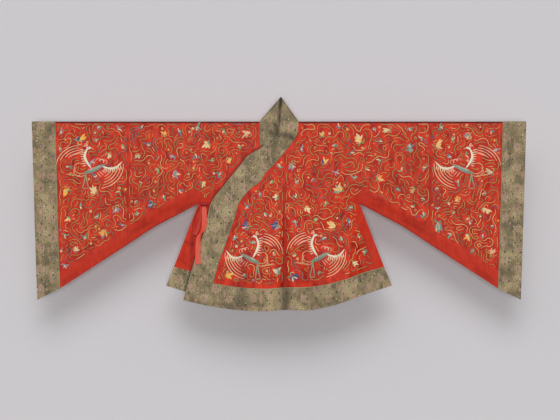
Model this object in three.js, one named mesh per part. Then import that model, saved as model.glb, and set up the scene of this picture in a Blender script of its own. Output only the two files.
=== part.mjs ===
// Wide-sleeved jacket with a crossed collar, hung through its sleeves on a round rod.
//
// Frame: millimetres, +Z up, +X towards the wearer's left, the front faces -Y.
// The origin is the middle of the rod's axis.
//
// The jacket is flat-cut cloth. Every piece is laid out on one pattern plane, where x is the
// distance from the centre and d is the depth below the shoulder line. Each point is then moved
// out to the front or to the back by the depth that LAYERS gives there. The cloth folds over the
// rod at d = 0.

import * as THREE from "three";
import { mergeVertices } from "three/addons/utils/BufferGeometryUtils.js";

// ---------- driving dimensions ----------

const ROD_RADIUS = 11;
const ROD_LENGTH = 2000;
const ROD_SIDES = 24;
const ROD_GAP = 0.5; // between the rod and the cloth that rests on it
const PANEL_WALL = 1.6;
const BAND_WALL = 2.4; // brocade bands are two layers, proud of the panels on the outside
const SEAM_GAP = 0.3;

const ARMPIT = { x: 334, d: 340 };
const SLEEVE_SEAM = { top: 627, bottom: { x: 627, d: 509 } }; // one cloth width from the centre
const UNDERARM_BEND = { x: 520, d: 438 }; // the underarm seam hollows between armpit and sleeve seam
const CUFF_SEAM = { top: 927, bottom: { x: 908, d: 691 } };
const CUFF_EDGE = { top: 1025, bottom: { x: 1003, d: 739 } };
const SIDE_HEM = { x: 469, d: 680 }; // where the side seam meets the hem
const SIDE_BAND = { x: 436, d: 602 }; // where the side seam meets the hem band
const NECK_X = 80; // half the neck's width at the shoulder line
const COLLAR_PEAK = { x: 8, d: -102 };
const BACK_NECK_D = 22;
const CENTRE_FRONT_X = 20; // the outer front hangs a little to the wearer's left
const SEAM_REACH = 150; // how far from an underarm seam the two layers take to part
const BELLY = { front: 26, back: 16, from: 80, over: 560, reach: 470 };
const LAYER_STEP = 4; // the crossed front lies this far in front of the one under it
// The step grows from the shoulder line down, sooner by the neck, and dies out in the sleeve.
const STEP_GROWS = { from: 5, over: 50, neckLean: 0.8 };
const STEP_FADES = { from: 250, over: 250 };
// The hidden under lap hangs back by up to this, but never nearer to the rod's plane than clear.
const UNDER_RECESS = { most: 14, reach: 60, clear: 2 };
const COLLAR_TAPER = 0.45; // the share of its depth that the standing collar loses at its peak
const PEAK_SHARE = 0.6; // how far down its free edge the collar's bend over the rod is drawn
const FOLD_FADE = 0.25; // the share of a fold's length in which it rises or dies out
const PAST_HEM_D = 780; // a fold that ends below this runs on through the hem

const CLOTH_IN = PANEL_WALL / 2;
const PANEL_OUT = PANEL_WALL / 2;
const BAND_OUT = BAND_WALL - CLOTH_IN;
const FOLD_RADIUS = ROD_RADIUS + ROD_GAP + CLOTH_IN; // of the middle of the cloth over the rod
const SEAM_DEPTH = CLOTH_IN + SEAM_GAP / 2;
const FRONT = -1;
const BACK = 1;
const ON_LINE = 0.01; // a point this near the top line lies on the fold
const SLOPE_STEP = 0.2; // for the slope of the cloth at a point

// ---------- tables, a row per section or fold ----------

// Wearer's left collar band: its seam edge and its free edge, from the crease down to the hem.
const COLLAR_OVER = [
  { seamX: 80, seamD: 20, freeX: 6, freeD: -45 },
  { seamX: 78, seamD: 42, freeX: 2, freeD: 5 },
  { seamX: 68, seamD: 66, freeX: -6, freeD: 35 },
  { seamX: 52, seamD: 90, freeX: -32, freeD: 68 },
  { seamX: 33, seamD: 115, freeX: -62, freeD: 98 },
  { seamX: 20, seamD: 130.6, freeX: -82, freeD: 113 },
  { seamX: -20, seamD: 176, freeX: -130, freeD: 142 },
  { seamX: -53, seamD: 211, freeX: -152, freeD: 170 },
  { seamX: -80, seamD: 250, freeX: -179, freeD: 203 },
  { seamX: -116, seamD: 277, freeX: -205, freeD: 235 },
  { seamX: -149, seamD: 313, freeX: -236, freeD: 275 },
  { seamX: -168, seamD: 343, freeX: -264, freeD: 308 },
  { seamX: -179, seamD: 383, freeX: -285, freeD: 345 },
  { seamX: -194, seamD: 430, freeX: -297, freeD: 398 },
  { seamX: -214, seamD: 486, freeX: -312, freeD: 457 },
  { seamX: -232, seamD: 538, freeX: -328, freeD: 511 },
  { seamX: -249, seamD: 585, freeX: -345, freeD: 560 },
  { seamX: -261, seamD: 627, freeX: -358, freeD: 602 },
  { seamX: -273, seamD: 669, freeX: -371, freeD: 645 },
  { seamX: -299, seamD: 762, freeX: -397, freeD: 740 },
];
// Wearer's right collar band, which passes under the other.
const COLLAR_UNDER = [
  { seamX: -80, seamD: 20, freeX: 6, freeD: -45 },
  { seamX: -80, seamD: 45, freeX: 2, freeD: 5 },
  { seamX: -80, seamD: 80, freeX: 6, freeD: 38 },
  { seamX: -74, seamD: 108, freeX: 22, freeD: 75 },
  { seamX: -58, seamD: 140, freeX: 38, freeD: 104 },
  { seamX: -30, seamD: 180, freeX: 62, freeD: 142 },
  { seamX: 0, seamD: 225, freeX: 92, freeD: 185 },
  { seamX: 24, seamD: 275, freeX: 118, freeD: 240 },
  { seamX: 48, seamD: 345, freeX: 144, freeD: 318 },
  { seamX: 72, seamD: 430, freeX: 170, freeD: 408 },
  { seamX: 94, seamD: 520, freeX: 192, freeD: 500 },
  { seamX: 116, seamD: 620, freeX: 214, freeD: 602 },
  { seamX: 128, seamD: 688, freeX: 226, freeD: 674 },
  { seamX: 140, seamD: 772, freeX: 238, freeD: 760 },
];
// Hem band: depth of its upper seam and of the hem, at distances from the centre.
const HEM = [
  { x: -273, seamD: 669, hemX: -299, hemD: 762 },
  { x: -170, seamD: 685, hemX: -190, hemD: 778 },
  { x: -62, seamD: 691, hemX: -70, hemD: 785 },
  { x: 20, seamD: 686, hemX: 20, hemD: 779 },
  { x: 120, seamD: 684, hemX: 126, hemD: 780 },
  { x: 203, seamD: 672, hemX: 216, hemD: 763 },
  { x: 282, seamD: 650, hemX: 303, hemD: 735 },
  { x: 350, seamD: 625, hemX: 376, hemD: 709 },
  { x: SIDE_BAND.x, seamD: SIDE_BAND.d, hemX: SIDE_HEM.x, hemD: SIDE_HEM.d },
];
// Largest folds: a line on the pattern plane, half-width, and height (troughs are negative).
const FOLDS = {
  front: [
    { x1: 22, d1: 380, x2: 27, d2: 800, width: 17, height: -10 },
    { x1: -30, d1: 430, x2: -42, d2: 800, width: 24, height: 4 },
    { x1: 76, d1: 440, x2: 88, d2: 800, width: 26, height: 5 },
    { x1: -140, d1: 520, x2: -160, d2: 800, width: 34, height: -6 },
    { x1: 160, d1: 520, x2: 172, d2: 800, width: 34, height: -5 },
    { x1: 318, d1: 370, x2: 250, d2: 780, width: 36, height: 6 },
    { x1: 372, d1: 470, x2: 352, d2: 740, width: 24, height: -5 },
    { x1: 360, d1: 300, x2: 640, d2: 440, width: 34, height: 6 },
    { x1: 420, d1: 250, x2: 700, d2: 350, width: 40, height: -4 },
    { x1: -360, d1: 300, x2: -640, d2: 440, width: 34, height: 6 },
    { x1: -420, d1: 250, x2: -700, d2: 350, width: 40, height: -4 },
    { x1: 800, d1: 90, x2: 850, d2: 600, width: 46, height: 5 },
    { x1: -800, d1: 90, x2: -850, d2: 600, width: 46, height: 5 },
  ],
  back: [
    { x1: 4, d1: 330, x2: 0, d2: 800, width: 30, height: -7 },
    { x1: 120, d1: 420, x2: 140, d2: 800, width: 38, height: 6 },
    { x1: -130, d1: 440, x2: -146, d2: 800, width: 38, height: 5 },
    { x1: 250, d1: 420, x2: 290, d2: 760, width: 36, height: -5 },
    { x1: -260, d1: 410, x2: -300, d2: 760, width: 36, height: -4 },
    { x1: 360, d1: 290, x2: 660, d2: 450, width: 38, height: 6 },
    { x1: -370, d1: 300, x2: -640, d2: 430, width: 38, height: 5 },
    { x1: 790, d1: 120, x2: 840, d2: 610, width: 50, height: -4 },
    { x1: -810, d1: 110, x2: -850, d2: 600, width: 50, height: 4 },
  ],
};
// Ribbon ties: the middle line, how far the ribbon stands off the cloth, its width and its turn.
const TAIL_LONG = [
  { x: -311, d: 352, off: 3, width: 14, turn: 0 },
  { x: -310, d: 368, off: 3, width: 20, turn: 0 },
  { x: -309, d: 410, off: 3, width: 21, turn: 6 },
  { x: -311, d: 440, off: 4, width: 20, turn: 20 },
  { x: -322, d: 462, off: 6, width: 19, turn: 62 },
  { x: -332, d: 482, off: 5, width: 20, turn: 24 },
  { x: -335, d: 510, off: 3, width: 21, turn: 4 },
  { x: -336, d: 556, off: 3, width: 21, turn: 0 },
  { x: -334, d: 590, off: 3, width: 21, turn: 0 },
];
const TAIL_SHORT = [
  { x: -323, d: 349.5, off: 6, width: 5, turn: 0 },
  { x: -326, d: 380, off: 2.5, width: 9, turn: 0 },
  { x: -328, d: 412, off: 1.6, width: 10, turn: 0 },
  { x: -338, d: 446, off: 1.6, width: 15, turn: 0 },
  { x: -351, d: 468, off: 1.6, width: 18, turn: 0 },
];
const TIE_LOOP = [
  { x: -327.9, d: 343, off: 7.5, width: 12, turn: 86 },
  { x: -342, d: 366, off: 5, width: 14, turn: 86 },
  { x: -354, d: 398, off: 4, width: 14, turn: 86 },
  { x: -362, d: 430, off: 4, width: 13, turn: 86 },
  { x: -363, d: 452, off: 4, width: 11, turn: 86 },
];
const RIBBON_WALL = 1;
const KNOT = { x: -310, d: 342, halfX: 17, halfY: 6.5, halfZ: 9, off: 2.6 };

const COLOURS = {
  satin: 0xb92a20,
  brocade: 0x8e7f62,
  ribbon: 0xd9503c,
  knot: 0x9c1c1c,
  rod: 0xc9c2b6,
};

// ---------- small helpers on the pattern plane ----------

const at = (x, d) => ({ x, d });
const mix = (a, b, t) => a + (b - a) * t;
const mixPoint = (p, q, t) => at(mix(p.x, q.x, t), mix(p.d, q.d, t));
const mirror = (points) => points.map((p) => at(-p.x, p.d));
const clamp01 = (t) => Math.min(1, Math.max(0, t));
const smooth = (t) => clamp01(t) ** 2 * (3 - 2 * clamp01(t));
const easeOut = (t) => 1 - (1 - clamp01(t)) ** 2;
const last = (list) => list[list.length - 1];

function distanceToSegment(x, d, p, q) {
  const ux = q.x - p.x;
  const ud = q.d - p.d;
  const along = clamp01(((x - p.x) * ux + (d - p.d) * ud) / (ux * ux + ud * ud));
  return { gap: Math.hypot(x - p.x - along * ux, d - p.d - along * ud), along };
}

function distanceToLine(x, d, line) {
  let nearest = Infinity;
  for (let i = 0; i + 1 < line.length; i++)
    nearest = Math.min(nearest, distanceToSegment(x, d, line[i], line[i + 1]).gap);
  return nearest;
}

// ---------- the form that all the cloth follows ----------

const TOP_LINE = [
  at(-CUFF_EDGE.top, 0),
  at(-NECK_X, 0),
  at(COLLAR_PEAK.x, COLLAR_PEAK.d),
  at(NECK_X, 0),
  at(CUFF_EDGE.top, 0),
];
const UNDERARM_LINE = [
  at(CUFF_EDGE.bottom.x, CUFF_EDGE.bottom.d),
  at(CUFF_SEAM.bottom.x, CUFF_SEAM.bottom.d),
  at(SLEEVE_SEAM.bottom.x, SLEEVE_SEAM.bottom.d),
  at(UNDERARM_BEND.x, UNDERARM_BEND.d),
  at(ARMPIT.x, ARMPIT.d),
  at(SIDE_BAND.x, SIDE_BAND.d),
  at(SIDE_HEM.x, SIDE_HEM.d),
];

// How far the two layers have parted at a point, from 0 on an underarm seam to 1.
const parting = (x, d) => easeOut(distanceToLine(Math.abs(x), d, UNDERARM_LINE) / SEAM_REACH);

// 0 on the fold over the rod and on the collar's upper folds, 1 once the cloth hangs straight.
function foldRound(x, d) {
  const t = clamp01(distanceToLine(x, d, TOP_LINE) / FOLD_RADIUS);
  return Math.sqrt(1 - (1 - t) ** 2);
}

function foldHeight(x, d, folds) {
  let height = 0;
  for (const f of folds) {
    const { gap, along } = distanceToSegment(x, d, at(f.x1, f.d1), at(f.x2, f.d2));
    const ends = f.d2 > PAST_HEM_D ? 1 : smooth((1 - along) / FOLD_FADE);
    const fade = smooth(along / FOLD_FADE) * ends;
    height += f.height * fade * Math.exp(-((gap / f.width) ** 2));
  }
  return height;
}

// Distance of the middle of the cloth from the rod's plane, before folds.
function plainDepth(x, d, side) {
  const belly = side === FRONT ? BELLY.front : BELLY.back;
  const across = Math.max(0, 1 - (x / BELLY.reach) ** 2) ** 2;
  const collarTaper = d < 0 ? 1 - (COLLAR_TAPER * d) / COLLAR_PEAK.d : 1;
  const open = FOLD_RADIUS + belly * across * smooth((d - BELLY.from) / BELLY.over);
  return foldRound(x, d) * collarTaper * mix(SEAM_DEPTH, open, parting(x, d));
}

const hangDepth = (x, d, side) =>
  plainDepth(x, d, side) +
  parting(x, d) * foldRound(x, d) * foldHeight(x, d, side === FRONT ? FOLDS.front : FOLDS.back);

// The crossed front stands off the one under it, fading out at the shoulder and in the sleeve.
function crossedLift(x, d) {
  const lean = STEP_GROWS.neckLean * Math.max(0, NECK_X - x);
  const down = smooth((d + lean - STEP_GROWS.from) / STEP_GROWS.over);
  const towardsSleeve = 1 - smooth((x - STEP_FADES.from) / STEP_FADES.over);
  return LAYER_STEP * down * towardsSleeve * (x > 0 ? parting(x, d) : 1);
}

// The x of the crossed collar's free edge at a depth.
function freeEdgeX(d) {
  const shown = COLLAR_OVER.slice(1);
  if (d <= shown[0].freeD) return Infinity;
  const k = shown.findIndex((r) => d <= r.freeD);
  if (k < 0) return last(shown).freeX;
  const [above, below] = [shown[k - 1], shown[k]];
  const along = (d - above.freeD) / (below.freeD - above.freeD);
  return mix(above.freeX, below.freeX, along);
}

// The under front follows the same form where it shows, and hangs back where it is covered.
function underDepth(x, d) {
  const covered = smooth((x - freeEdgeX(d)) / UNDER_RECESS.reach) * parting(x, d);
  const plain = plainDepth(x, d, FRONT);
  const recess = Math.min(UNDER_RECESS.most, Math.max(0, plain - UNDER_RECESS.clear) / 2);
  return mix(hangDepth(x, d, FRONT), plain - recess, covered);
}

const LAYERS = {
  over: (x, d) => hangDepth(x, d, FRONT) + crossedLift(x, d),
  under: underDepth,
  back: (x, d) => hangDepth(x, d, BACK),
};

// The cloth's outward direction: along the pattern plane on a fold, else from the depth's slope.
function outwards({ x, d }, layer, side) {
  const onCollar = Math.abs(x) < NECK_X - ON_LINE && Math.abs(x - COLLAR_PEAK.x) > ON_LINE;
  if (distanceToLine(x, d, TOP_LINE) < ON_LINE) {
    const run = Math.sign(x - COLLAR_PEAK.x) * NECK_X - COLLAR_PEAK.x;
    return onCollar
      ? new THREE.Vector3(-COLLAR_PEAK.d * Math.sign(run), 0, Math.abs(run)).normalize()
      : new THREE.Vector3(0, 0, 1);
  }
  const depth = LAYERS[layer];
  const across = (depth(x + SLOPE_STEP, d) - depth(x - SLOPE_STEP, d)) / (2 * SLOPE_STEP);
  const down = (depth(x, d + SLOPE_STEP) - depth(x, d - SLOPE_STEP)) / (2 * SLOPE_STEP);
  return new THREE.Vector3(-across, side, down).normalize();
}

// ---------- patches: a grid of points between four edges ----------

// Edges run left to right and top to bottom. The corners have to agree.
function patch(layer, top, bottom, left, right) {
  if (top.length !== bottom.length || left.length !== right.length)
    throw new Error(layer + " patch: opposite edges have different numbers of points");
  const columns = top.length - 1;
  const rows = left.length - 1;
  const share = (line, i) => {
    const lengths = [0];
    for (let k = 1; k < line.length; k++)
      lengths.push(lengths[k - 1] + Math.hypot(line[k].x - line[k - 1].x, line[k].d - line[k - 1].d));
    return last(lengths) > 0 ? lengths[i] / last(lengths) : i / (line.length - 1);
  };
  const grid = [];
  for (let i = 0; i <= rows; i++) {
    grid.push([]);
    for (let j = 0; j <= columns; j++) {
      const u = mix(share(top, j), share(bottom, j), i / rows);
      const v = mix(share(left, i), share(right, i), u);
      const blend = (key) =>
        mix(top[j][key], bottom[j][key], v) +
        mix(left[i][key], right[i][key], u) -
        mix(mix(top[0][key], last(top)[key], u), mix(bottom[0][key], last(bottom)[key], u), v);
      grid[i].push(at(blend("x"), blend("d")));
    }
  }
  return { layer, grid };
}

// Turns patches into one closed wall: welded, moved out by its depth, thickened both ways.
function clothGeometry(patches, outThickness) {
  const points = [];
  const normals = [];
  const index = new Map();
  const triangles = [];
  const vertex = (p, layer) => {
    const side = layer === "back" ? BACK : FRONT;
    const place = new THREE.Vector3(p.x, side * LAYERS[layer](p.x, p.d), FOLD_RADIUS - p.d);
    const key = place.toArray().map((c) => Math.round(c * 100)).join();
    if (!index.has(key)) {
      index.set(key, points.length);
      points.push(place);
      normals.push(outwards(p, layer, side));
    }
    return index.get(key);
  };
  for (const { layer, grid } of patches)
    for (let i = 0; i + 1 < grid.length; i++)
      for (let j = 0; j + 1 < grid[0].length; j++) {
        const [a, b, c, e] = [grid[i][j], grid[i + 1][j], grid[i + 1][j + 1], grid[i][j + 1]];
        const area = (c.x - a.x) * (e.d - b.d) - (c.d - a.d) * (e.x - b.x);
        const flip = area > 0 !== (layer === "back");
        const [A, B, C, E] = [a, b, c, e].map((p) => vertex(p, layer));
        for (const t of [[A, B, C], [A, C, E]]) {
          if (new Set(t).size < 3) continue;
          triangles.push(flip ? t.reverse() : t);
        }
      }

  const edges = new Map();
  for (const t of triangles)
    t.forEach((k, n) => edges.set(k + "," + t[(n + 1) % 3], [k, t[(n + 1) % 3]]));

  // Each border is drawn in by half the seam's gap, along the cloth.
  const border = [...edges.values()].filter(([a, b]) => !edges.has(b + "," + a));
  const inwards = points.map(() => []);
  for (const [a, b] of border) {
    const along = points[b].clone().sub(points[a]).normalize();
    for (const k of [a, b])
      inwards[k].push(new THREE.Vector3().crossVectors(normals[k], along).normalize());
  }
  points.forEach((p, k) => {
    if (inwards[k].length < 2) return;
    const [m, n] = inwards[k];
    const bend = Math.max(0.2, 1 + m.dot(n));
    p.addScaledVector(m.clone().add(n), SEAM_GAP / 2 / bend);
  });

  const positions = [];
  for (const shift of [outThickness, -CLOTH_IN])
    points.forEach((p, k) => positions.push(...p.clone().addScaledVector(normals[k], shift).toArray()));
  const inner = points.length;
  const faces = [];
  for (const [a, b, c] of triangles) faces.push(a, b, c, inner + a, inner + c, inner + b);
  for (const [a, b] of border) faces.push(a, inner + a, b, b, inner + a, inner + b);
  const geometry = new THREE.BufferGeometry();
  geometry.setAttribute("position", new THREE.Float32BufferAttribute(positions, 3));
  geometry.setIndex(faces);
  return geometry;
}

// ---------- stations that neighbouring pieces share ----------

// Depths where the cloth bends over the rod, a quarter of a turn in four steps.
const FOLD_STEPS = [0, 1, 2, 3, 4].map((k) => FOLD_RADIUS * (1 - Math.cos((k * Math.PI) / 8)));
const foldEnd = last(FOLD_STEPS);
const ARM_SHARES = [0.1, 0.22, 0.34, 0.46, 0.58, 0.7, 0.82, 0.92, 1];

// A line of stations down the sleeve, at one distance from the centre.
function sleeveStations(top, bottom) {
  const down = (d) => at(mix(top, bottom.x, d / bottom.d), d);
  return [
    ...FOLD_STEPS.map(down),
    ...ARM_SHARES.map((s) => down(mix(foldEnd, bottom.d, s))),
  ];
}
// The underarm seam from the armpit out to the sleeve seam.
function underarmPoint(x) {
  const inner = x < UNDERARM_BEND.x;
  const [p, q] = inner ? [ARMPIT, UNDERARM_BEND] : [UNDERARM_BEND, SLEEVE_SEAM.bottom];
  return mixPoint(p, q, (x - p.x) / (q.x - p.x));
}

const ROOT = sleeveStations(ARMPIT.x, ARMPIT);
const SLEEVE_SEAM_LINE = sleeveStations(SLEEVE_SEAM.top, SLEEVE_SEAM.bottom);
const CUFF_SEAM_LINE = sleeveStations(CUFF_SEAM.top, CUFF_SEAM.bottom);
const CUFF_EDGE_LINE = sleeveStations(CUFF_EDGE.top, CUFF_EDGE.bottom);

// Straight stations between two points, at equal shares, without the first.
const run = (p, q, count) =>
  Array.from({ length: count }, (_, k) => mixPoint(p, q, (k + 1) / count));
const line = (p, q, shares) => shares.map((s) => mixPoint(p, q, s));

const SIDE_ROWS = 10;
const TORSO_SIDE = [...ROOT, ...run(ROOT[ROOT.length - 1], at(SIDE_BAND.x, SIDE_BAND.d), SIDE_ROWS)];
const foldSeam = FOLD_STEPS.map((d) => at(NECK_X, d));
const FOLDS_DOWN = FOLD_STEPS.length;
const seamPoints = (rows) => rows.map((r) => at(r.seamX, r.seamD));
const freePoints = (rows) => rows.map((r) => at(r.freeX, r.freeD));

// Hem stations between two distances from the centre, from the table by linear steps.
function hemPoint(x, hem) {
  const k = Math.max(0, HEM.findIndex((r) => x <= r.x + ON_LINE) - 1);
  const [a, b] = [HEM[k], HEM[k + 1]];
  const t = clamp01((x - a.x) / (b.x - a.x));
  return hem ? at(mix(a.hemX, b.hemX, t), mix(a.hemD, b.hemD, t)) : at(x, mix(a.seamD, b.seamD, t));
}
const hemStations = (xs, hem) => xs.map((x) => hemPoint(x, hem));

const share = (from, to, shares) => shares.map((s) => mix(from, to, s));
const SHOULDER_SHARES = [0, 0.06, 0.18, 0.36, 0.57, 0.79, 1];
const OVERLAP_SHARES = [0, 0.25, 0.5, 0.7, 0.84, 0.94, 1];
const LAP_SHARES = [0, 0.33, 0.67, 1];
const SLEEVE_SHARES = [0, 0.2, 0.4, 0.6, 0.8, 1];
const CUFF_SHARES = [0, 0.5, 1];
const BAND_SHARES = [0, 0.25, 0.5, 0.75, 1];
const HEM_ROWS = 2;
// The back neckline from below the shoulder's bend to the centre, and the columns under it.
const BACK_NECK = [at(NECK_X, foldEnd), at(60, 18), at(30, 21), at(0, BACK_NECK_D)];
const BACK_HEM_XS = [0, 34, 68, ...share(100, SIDE_BAND.x, SHOULDER_SHARES)];

// ---------- body halves ----------

// The root of the sleeve, cut in one with the body, from the armpit out to the sleeve seam.
function sleeveRoot(layer) {
  const xs = share(ARMPIT.x, SLEEVE_SEAM.top, SLEEVE_SHARES);
  const top = xs.map((x) => at(x, 0));
  return patch(layer, top, xs.map(underarmPoint), ROOT, SLEEVE_SEAM_LINE);
}

const flipPatch = ({ layer, grid }) => ({ layer, grid: grid.map(mirror) });

// The back of the wearer's left half: the shoulder's bend, then from the neckline to the hem.
function backTorso() {
  const shoulder = (d) => line(at(NECK_X, d), at(ARMPIT.x, d), SHOULDER_SHARES);
  const bend = patch("back", shoulder(0), shoulder(foldEnd), foldSeam, ROOT.slice(0, FOLDS_DOWN));
  const side = TORSO_SIDE.slice(FOLDS_DOWN - 1);
  const top = [...BACK_NECK.slice().reverse(), ...shoulder(foldEnd).slice(1)];
  const bottom = hemStations(BACK_HEM_XS, false);
  const centre = side.map((p) =>
    mixPoint(top[0], bottom[0], (p.d - foldEnd) / (last(side).d - foldEnd)),
  );
  return [bend, patch("back", top, bottom, centre, side)];
}

// The front of a half: the collar's seam, then the centre seam, against the side.
function frontTorso(layer, collarRows, centreX, centreLine) {
  const inner = [...foldSeam, ...seamPoints(collarRows), ...centreLine.slice(1)];
  const bottom = hemStations(share(centreX, SIDE_BAND.x, SHOULDER_SHARES), false);
  const top = line(at(NECK_X, 0), at(ARMPIT.x, 0), SHOULDER_SHARES);
  return patch(layer, top, bottom, inner, TORSO_SIDE);
}

const CROSS_ROW = COLLAR_OVER.findIndex((r) => r.seamX === CENTRE_FRONT_X);
const overlapRows = COLLAR_OVER.slice(CROSS_ROW, -1);
const overlapSeam = seamPoints(overlapRows);
const centreTop = overlapSeam[0];
const centreBottom = hemPoint(CENTRE_FRONT_X, false);
const centreFront = overlapSeam.map((p) =>
  mixPoint(centreTop, centreBottom, (p.d - centreTop.d) / (last(overlapSeam).d - centreTop.d)),
);

const LAP_ROW = COLLAR_UNDER.findIndex((r) => r.seamX === 0);
const lapRows = COLLAR_UNDER.slice(LAP_ROW, -1);
const lapSeam = seamPoints(lapRows);
const lapCentre = lapSeam.map((p) =>
  mixPoint(lapSeam[0], hemPoint(0, false), (p.d - lapSeam[0].d) / (last(lapSeam).d - lapSeam[0].d)),
);

function bodyLeft() {
  const rows = COLLAR_OVER.slice(0, CROSS_ROW + 1);
  const front = frontTorso("over", rows, CENTRE_FRONT_X, centreFront);
  return clothGeometry([front, sleeveRoot("over"), ...backTorso(), sleeveRoot("back")], PANEL_OUT);
}

// Laid out on the left and mirrored. Its side has two rows for each one of the under lap.
function bodyRight() {
  const rows = COLLAR_UNDER.slice(0, LAP_ROW + 1).map((r) => ({ ...r, seamX: -r.seamX }));
  const centre = [lapCentre[0]];
  for (let i = 1; i < lapCentre.length; i++)
    centre.push(...run(lapCentre[i - 1], lapCentre[i], 2));
  const front = frontTorso("under", rows, 0, centre);
  const patches = [front, sleeveRoot("under"), ...backTorso(), sleeveRoot("back")];
  return clothGeometry(patches.map(flipPatch), PANEL_OUT);
}

// ---------- overlaps, sleeves, cuffs ----------

function overlapOuter() {
  const bottom = share(last(overlapSeam).x, CENTRE_FRONT_X, OVERLAP_SHARES).map((x) =>
    hemPoint(x, false),
  );
  const top = OVERLAP_SHARES.map(() => centreTop);
  return clothGeometry([patch("over", top, bottom, overlapSeam, centreFront)], PANEL_OUT);
}

function overlapInner() {
  const bottom = share(0, last(lapSeam).x, LAP_SHARES).map((x) => hemPoint(x, false));
  bottom[bottom.length - 1] = last(lapSeam);
  const top = LAP_SHARES.map(() => lapSeam[0]);
  return clothGeometry([patch("under", top, bottom, lapCentre, lapSeam)], PANEL_OUT);
}

function sleevePart(left, right, shares, outThickness, sign) {
  const top = line(left[0], right[0], shares);
  const bottom = line(last(left), last(right), shares);
  const layers = sign > 0 ? ["over", "back"] : ["under", "back"];
  const patches = layers.map((layer) => patch(layer, top, bottom, left, right));
  return clothGeometry(sign > 0 ? patches : patches.map(flipPatch), outThickness);
}

// ---------- bands ----------

// One half of the collar band: the back of the standing collar, then down the front to the hem.
function collar(layer, rows, sign) {
  const neck = at(sign * NECK_X, 0);
  const peak = at(COLLAR_PEAK.x, COLLAR_PEAK.d);
  const firstFree = at(rows[0].freeX, rows[0].freeD);
  const seam = [...FOLD_STEPS.map((d) => at(neck.x, d)), ...seamPoints(rows)];
  const free = [
    ...FOLD_STEPS.map((d, k) => mixPoint(peak, firstFree, PEAK_SHARE * (k / FOLD_STEPS.length) ** 2)),
    ...freePoints(rows),
  ];
  const across = BAND_SHARES;
  const front = patch(
    layer,
    line(neck, peak, across),
    line(last(seam), last(free), across),
    seam,
    free,
  );
  // Behind, the band narrows to the peak between the fold and the centre back seam.
  const backNeck = [...foldSeam, ...BACK_NECK.slice(1)].map((p) => at(sign * p.x, p.d));
  const back = patch(
    "back",
    line(neck, peak, across),
    line(last(backNeck), peak, across),
    backNeck,
    backNeck.map(() => peak),
  );
  return clothGeometry([front, back], BAND_OUT);
}

// A hem band between two rows of stations; its ends follow the side seam or the collar.
function hemPatch(layer, top, bottom) {
  const down = (p, q) => [p, ...run(p, q, HEM_ROWS)];
  return patch(layer, top, bottom, down(top[0], bottom[0]), down(last(top), last(bottom)));
}

function hemBandOuter() {
  const xs = [
    ...share(last(overlapSeam).x, CENTRE_FRONT_X, OVERLAP_SHARES),
    ...share(CENTRE_FRONT_X, SIDE_BAND.x, SHOULDER_SHARES).slice(1),
  ];
  return clothGeometry([hemPatch("over", hemStations(xs, false), hemStations(xs, true))], BAND_OUT);
}

function hemBandBack() {
  const whole = (hem) => {
    const right = hemStations(BACK_HEM_XS, hem);
    return [...mirror(right.slice(1)).reverse(), ...right];
  };
  return clothGeometry([hemPatch("back", whole(false), whole(true))], BAND_OUT);
}

function hemBandInner() {
  const side = share(0, SIDE_BAND.x, SHOULDER_SHARES);
  const lap = share(0, last(lapSeam).x, LAP_SHARES).slice(1);
  const whole = (hem) => [
    ...mirror(hemStations(side, hem)).reverse(),
    ...hemStations(lap, hem),
  ];
  const top = whole(false);
  const bottom = whole(true);
  top[top.length - 1] = last(lapSeam);
  bottom[bottom.length - 1] = last(seamPoints(COLLAR_UNDER));
  return clothGeometry([hemPatch("under", top, bottom)], BAND_OUT);
}

// ---------- ties and rod ----------

const faceDepth = (x, d) => LAYERS.over(x, d) + BAND_OUT;

// A flat ribbon along a table of rows, as a closed strip with square ends.
function ribbon(rows) {
  const positions = [];
  const middle = rows.map(
    (r) => new THREE.Vector3(r.x, -(faceDepth(r.x, r.d) + r.off), FOLD_RADIUS - r.d),
  );
  rows.forEach((r, k) => {
    const along = middle[Math.min(k + 1, rows.length - 1)]
      .clone()
      .sub(middle[Math.max(k - 1, 0)])
      .normalize();
    const flat = new THREE.Vector3(1, 0, 0).addScaledVector(along, -along.x).normalize();
    const wide = flat.applyAxisAngle(along, THREE.MathUtils.degToRad(r.turn));
    const thick = new THREE.Vector3().crossVectors(along, wide);
    for (const [w, t] of [[-1, -1], [1, -1], [1, 1], [-1, 1]])
      positions.push(
        ...middle[k]
          .clone()
          .addScaledVector(wide, (w * r.width) / 2)
          .addScaledVector(thick, (t * RIBBON_WALL) / 2)
          .toArray(),
      );
  });
  const faces = [0, 2, 1, 0, 3, 2];
  for (let k = 0; k + 1 < rows.length; k++)
    for (let s = 0; s < 4; s++) {
      const [a, b] = [4 * k + s, 4 * k + ((s + 1) % 4)];
      faces.push(a, b, b + 4, a, b + 4, a + 4);
    }
  const end = 4 * (rows.length - 1);
  faces.push(end, end + 1, end + 2, end, end + 2, end + 3);
  const geometry = new THREE.BufferGeometry();
  geometry.setAttribute("position", new THREE.Float32BufferAttribute(positions, 3));
  geometry.setIndex(faces);
  return geometry;
}

function knot() {
  const ball = new THREE.SphereGeometry(1, 12, 8);
  ball.deleteAttribute("normal");
  ball.deleteAttribute("uv");
  const out = LAYERS.under(KNOT.x, KNOT.d) + PANEL_OUT + KNOT.off + KNOT.halfY;
  ball.scale(KNOT.halfX, KNOT.halfY, KNOT.halfZ);
  ball.translate(KNOT.x, -out, FOLD_RADIUS - KNOT.d);
  return mergeVertices(ball, 1e-4);
}

function rod() {
  const bar = new THREE.CylinderGeometry(ROD_RADIUS, ROD_RADIUS, ROD_LENGTH, ROD_SIDES);
  return bar.rotateZ(Math.PI / 2);
}

// ---------- the scene graph ----------

const jacket = new THREE.Group();

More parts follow.
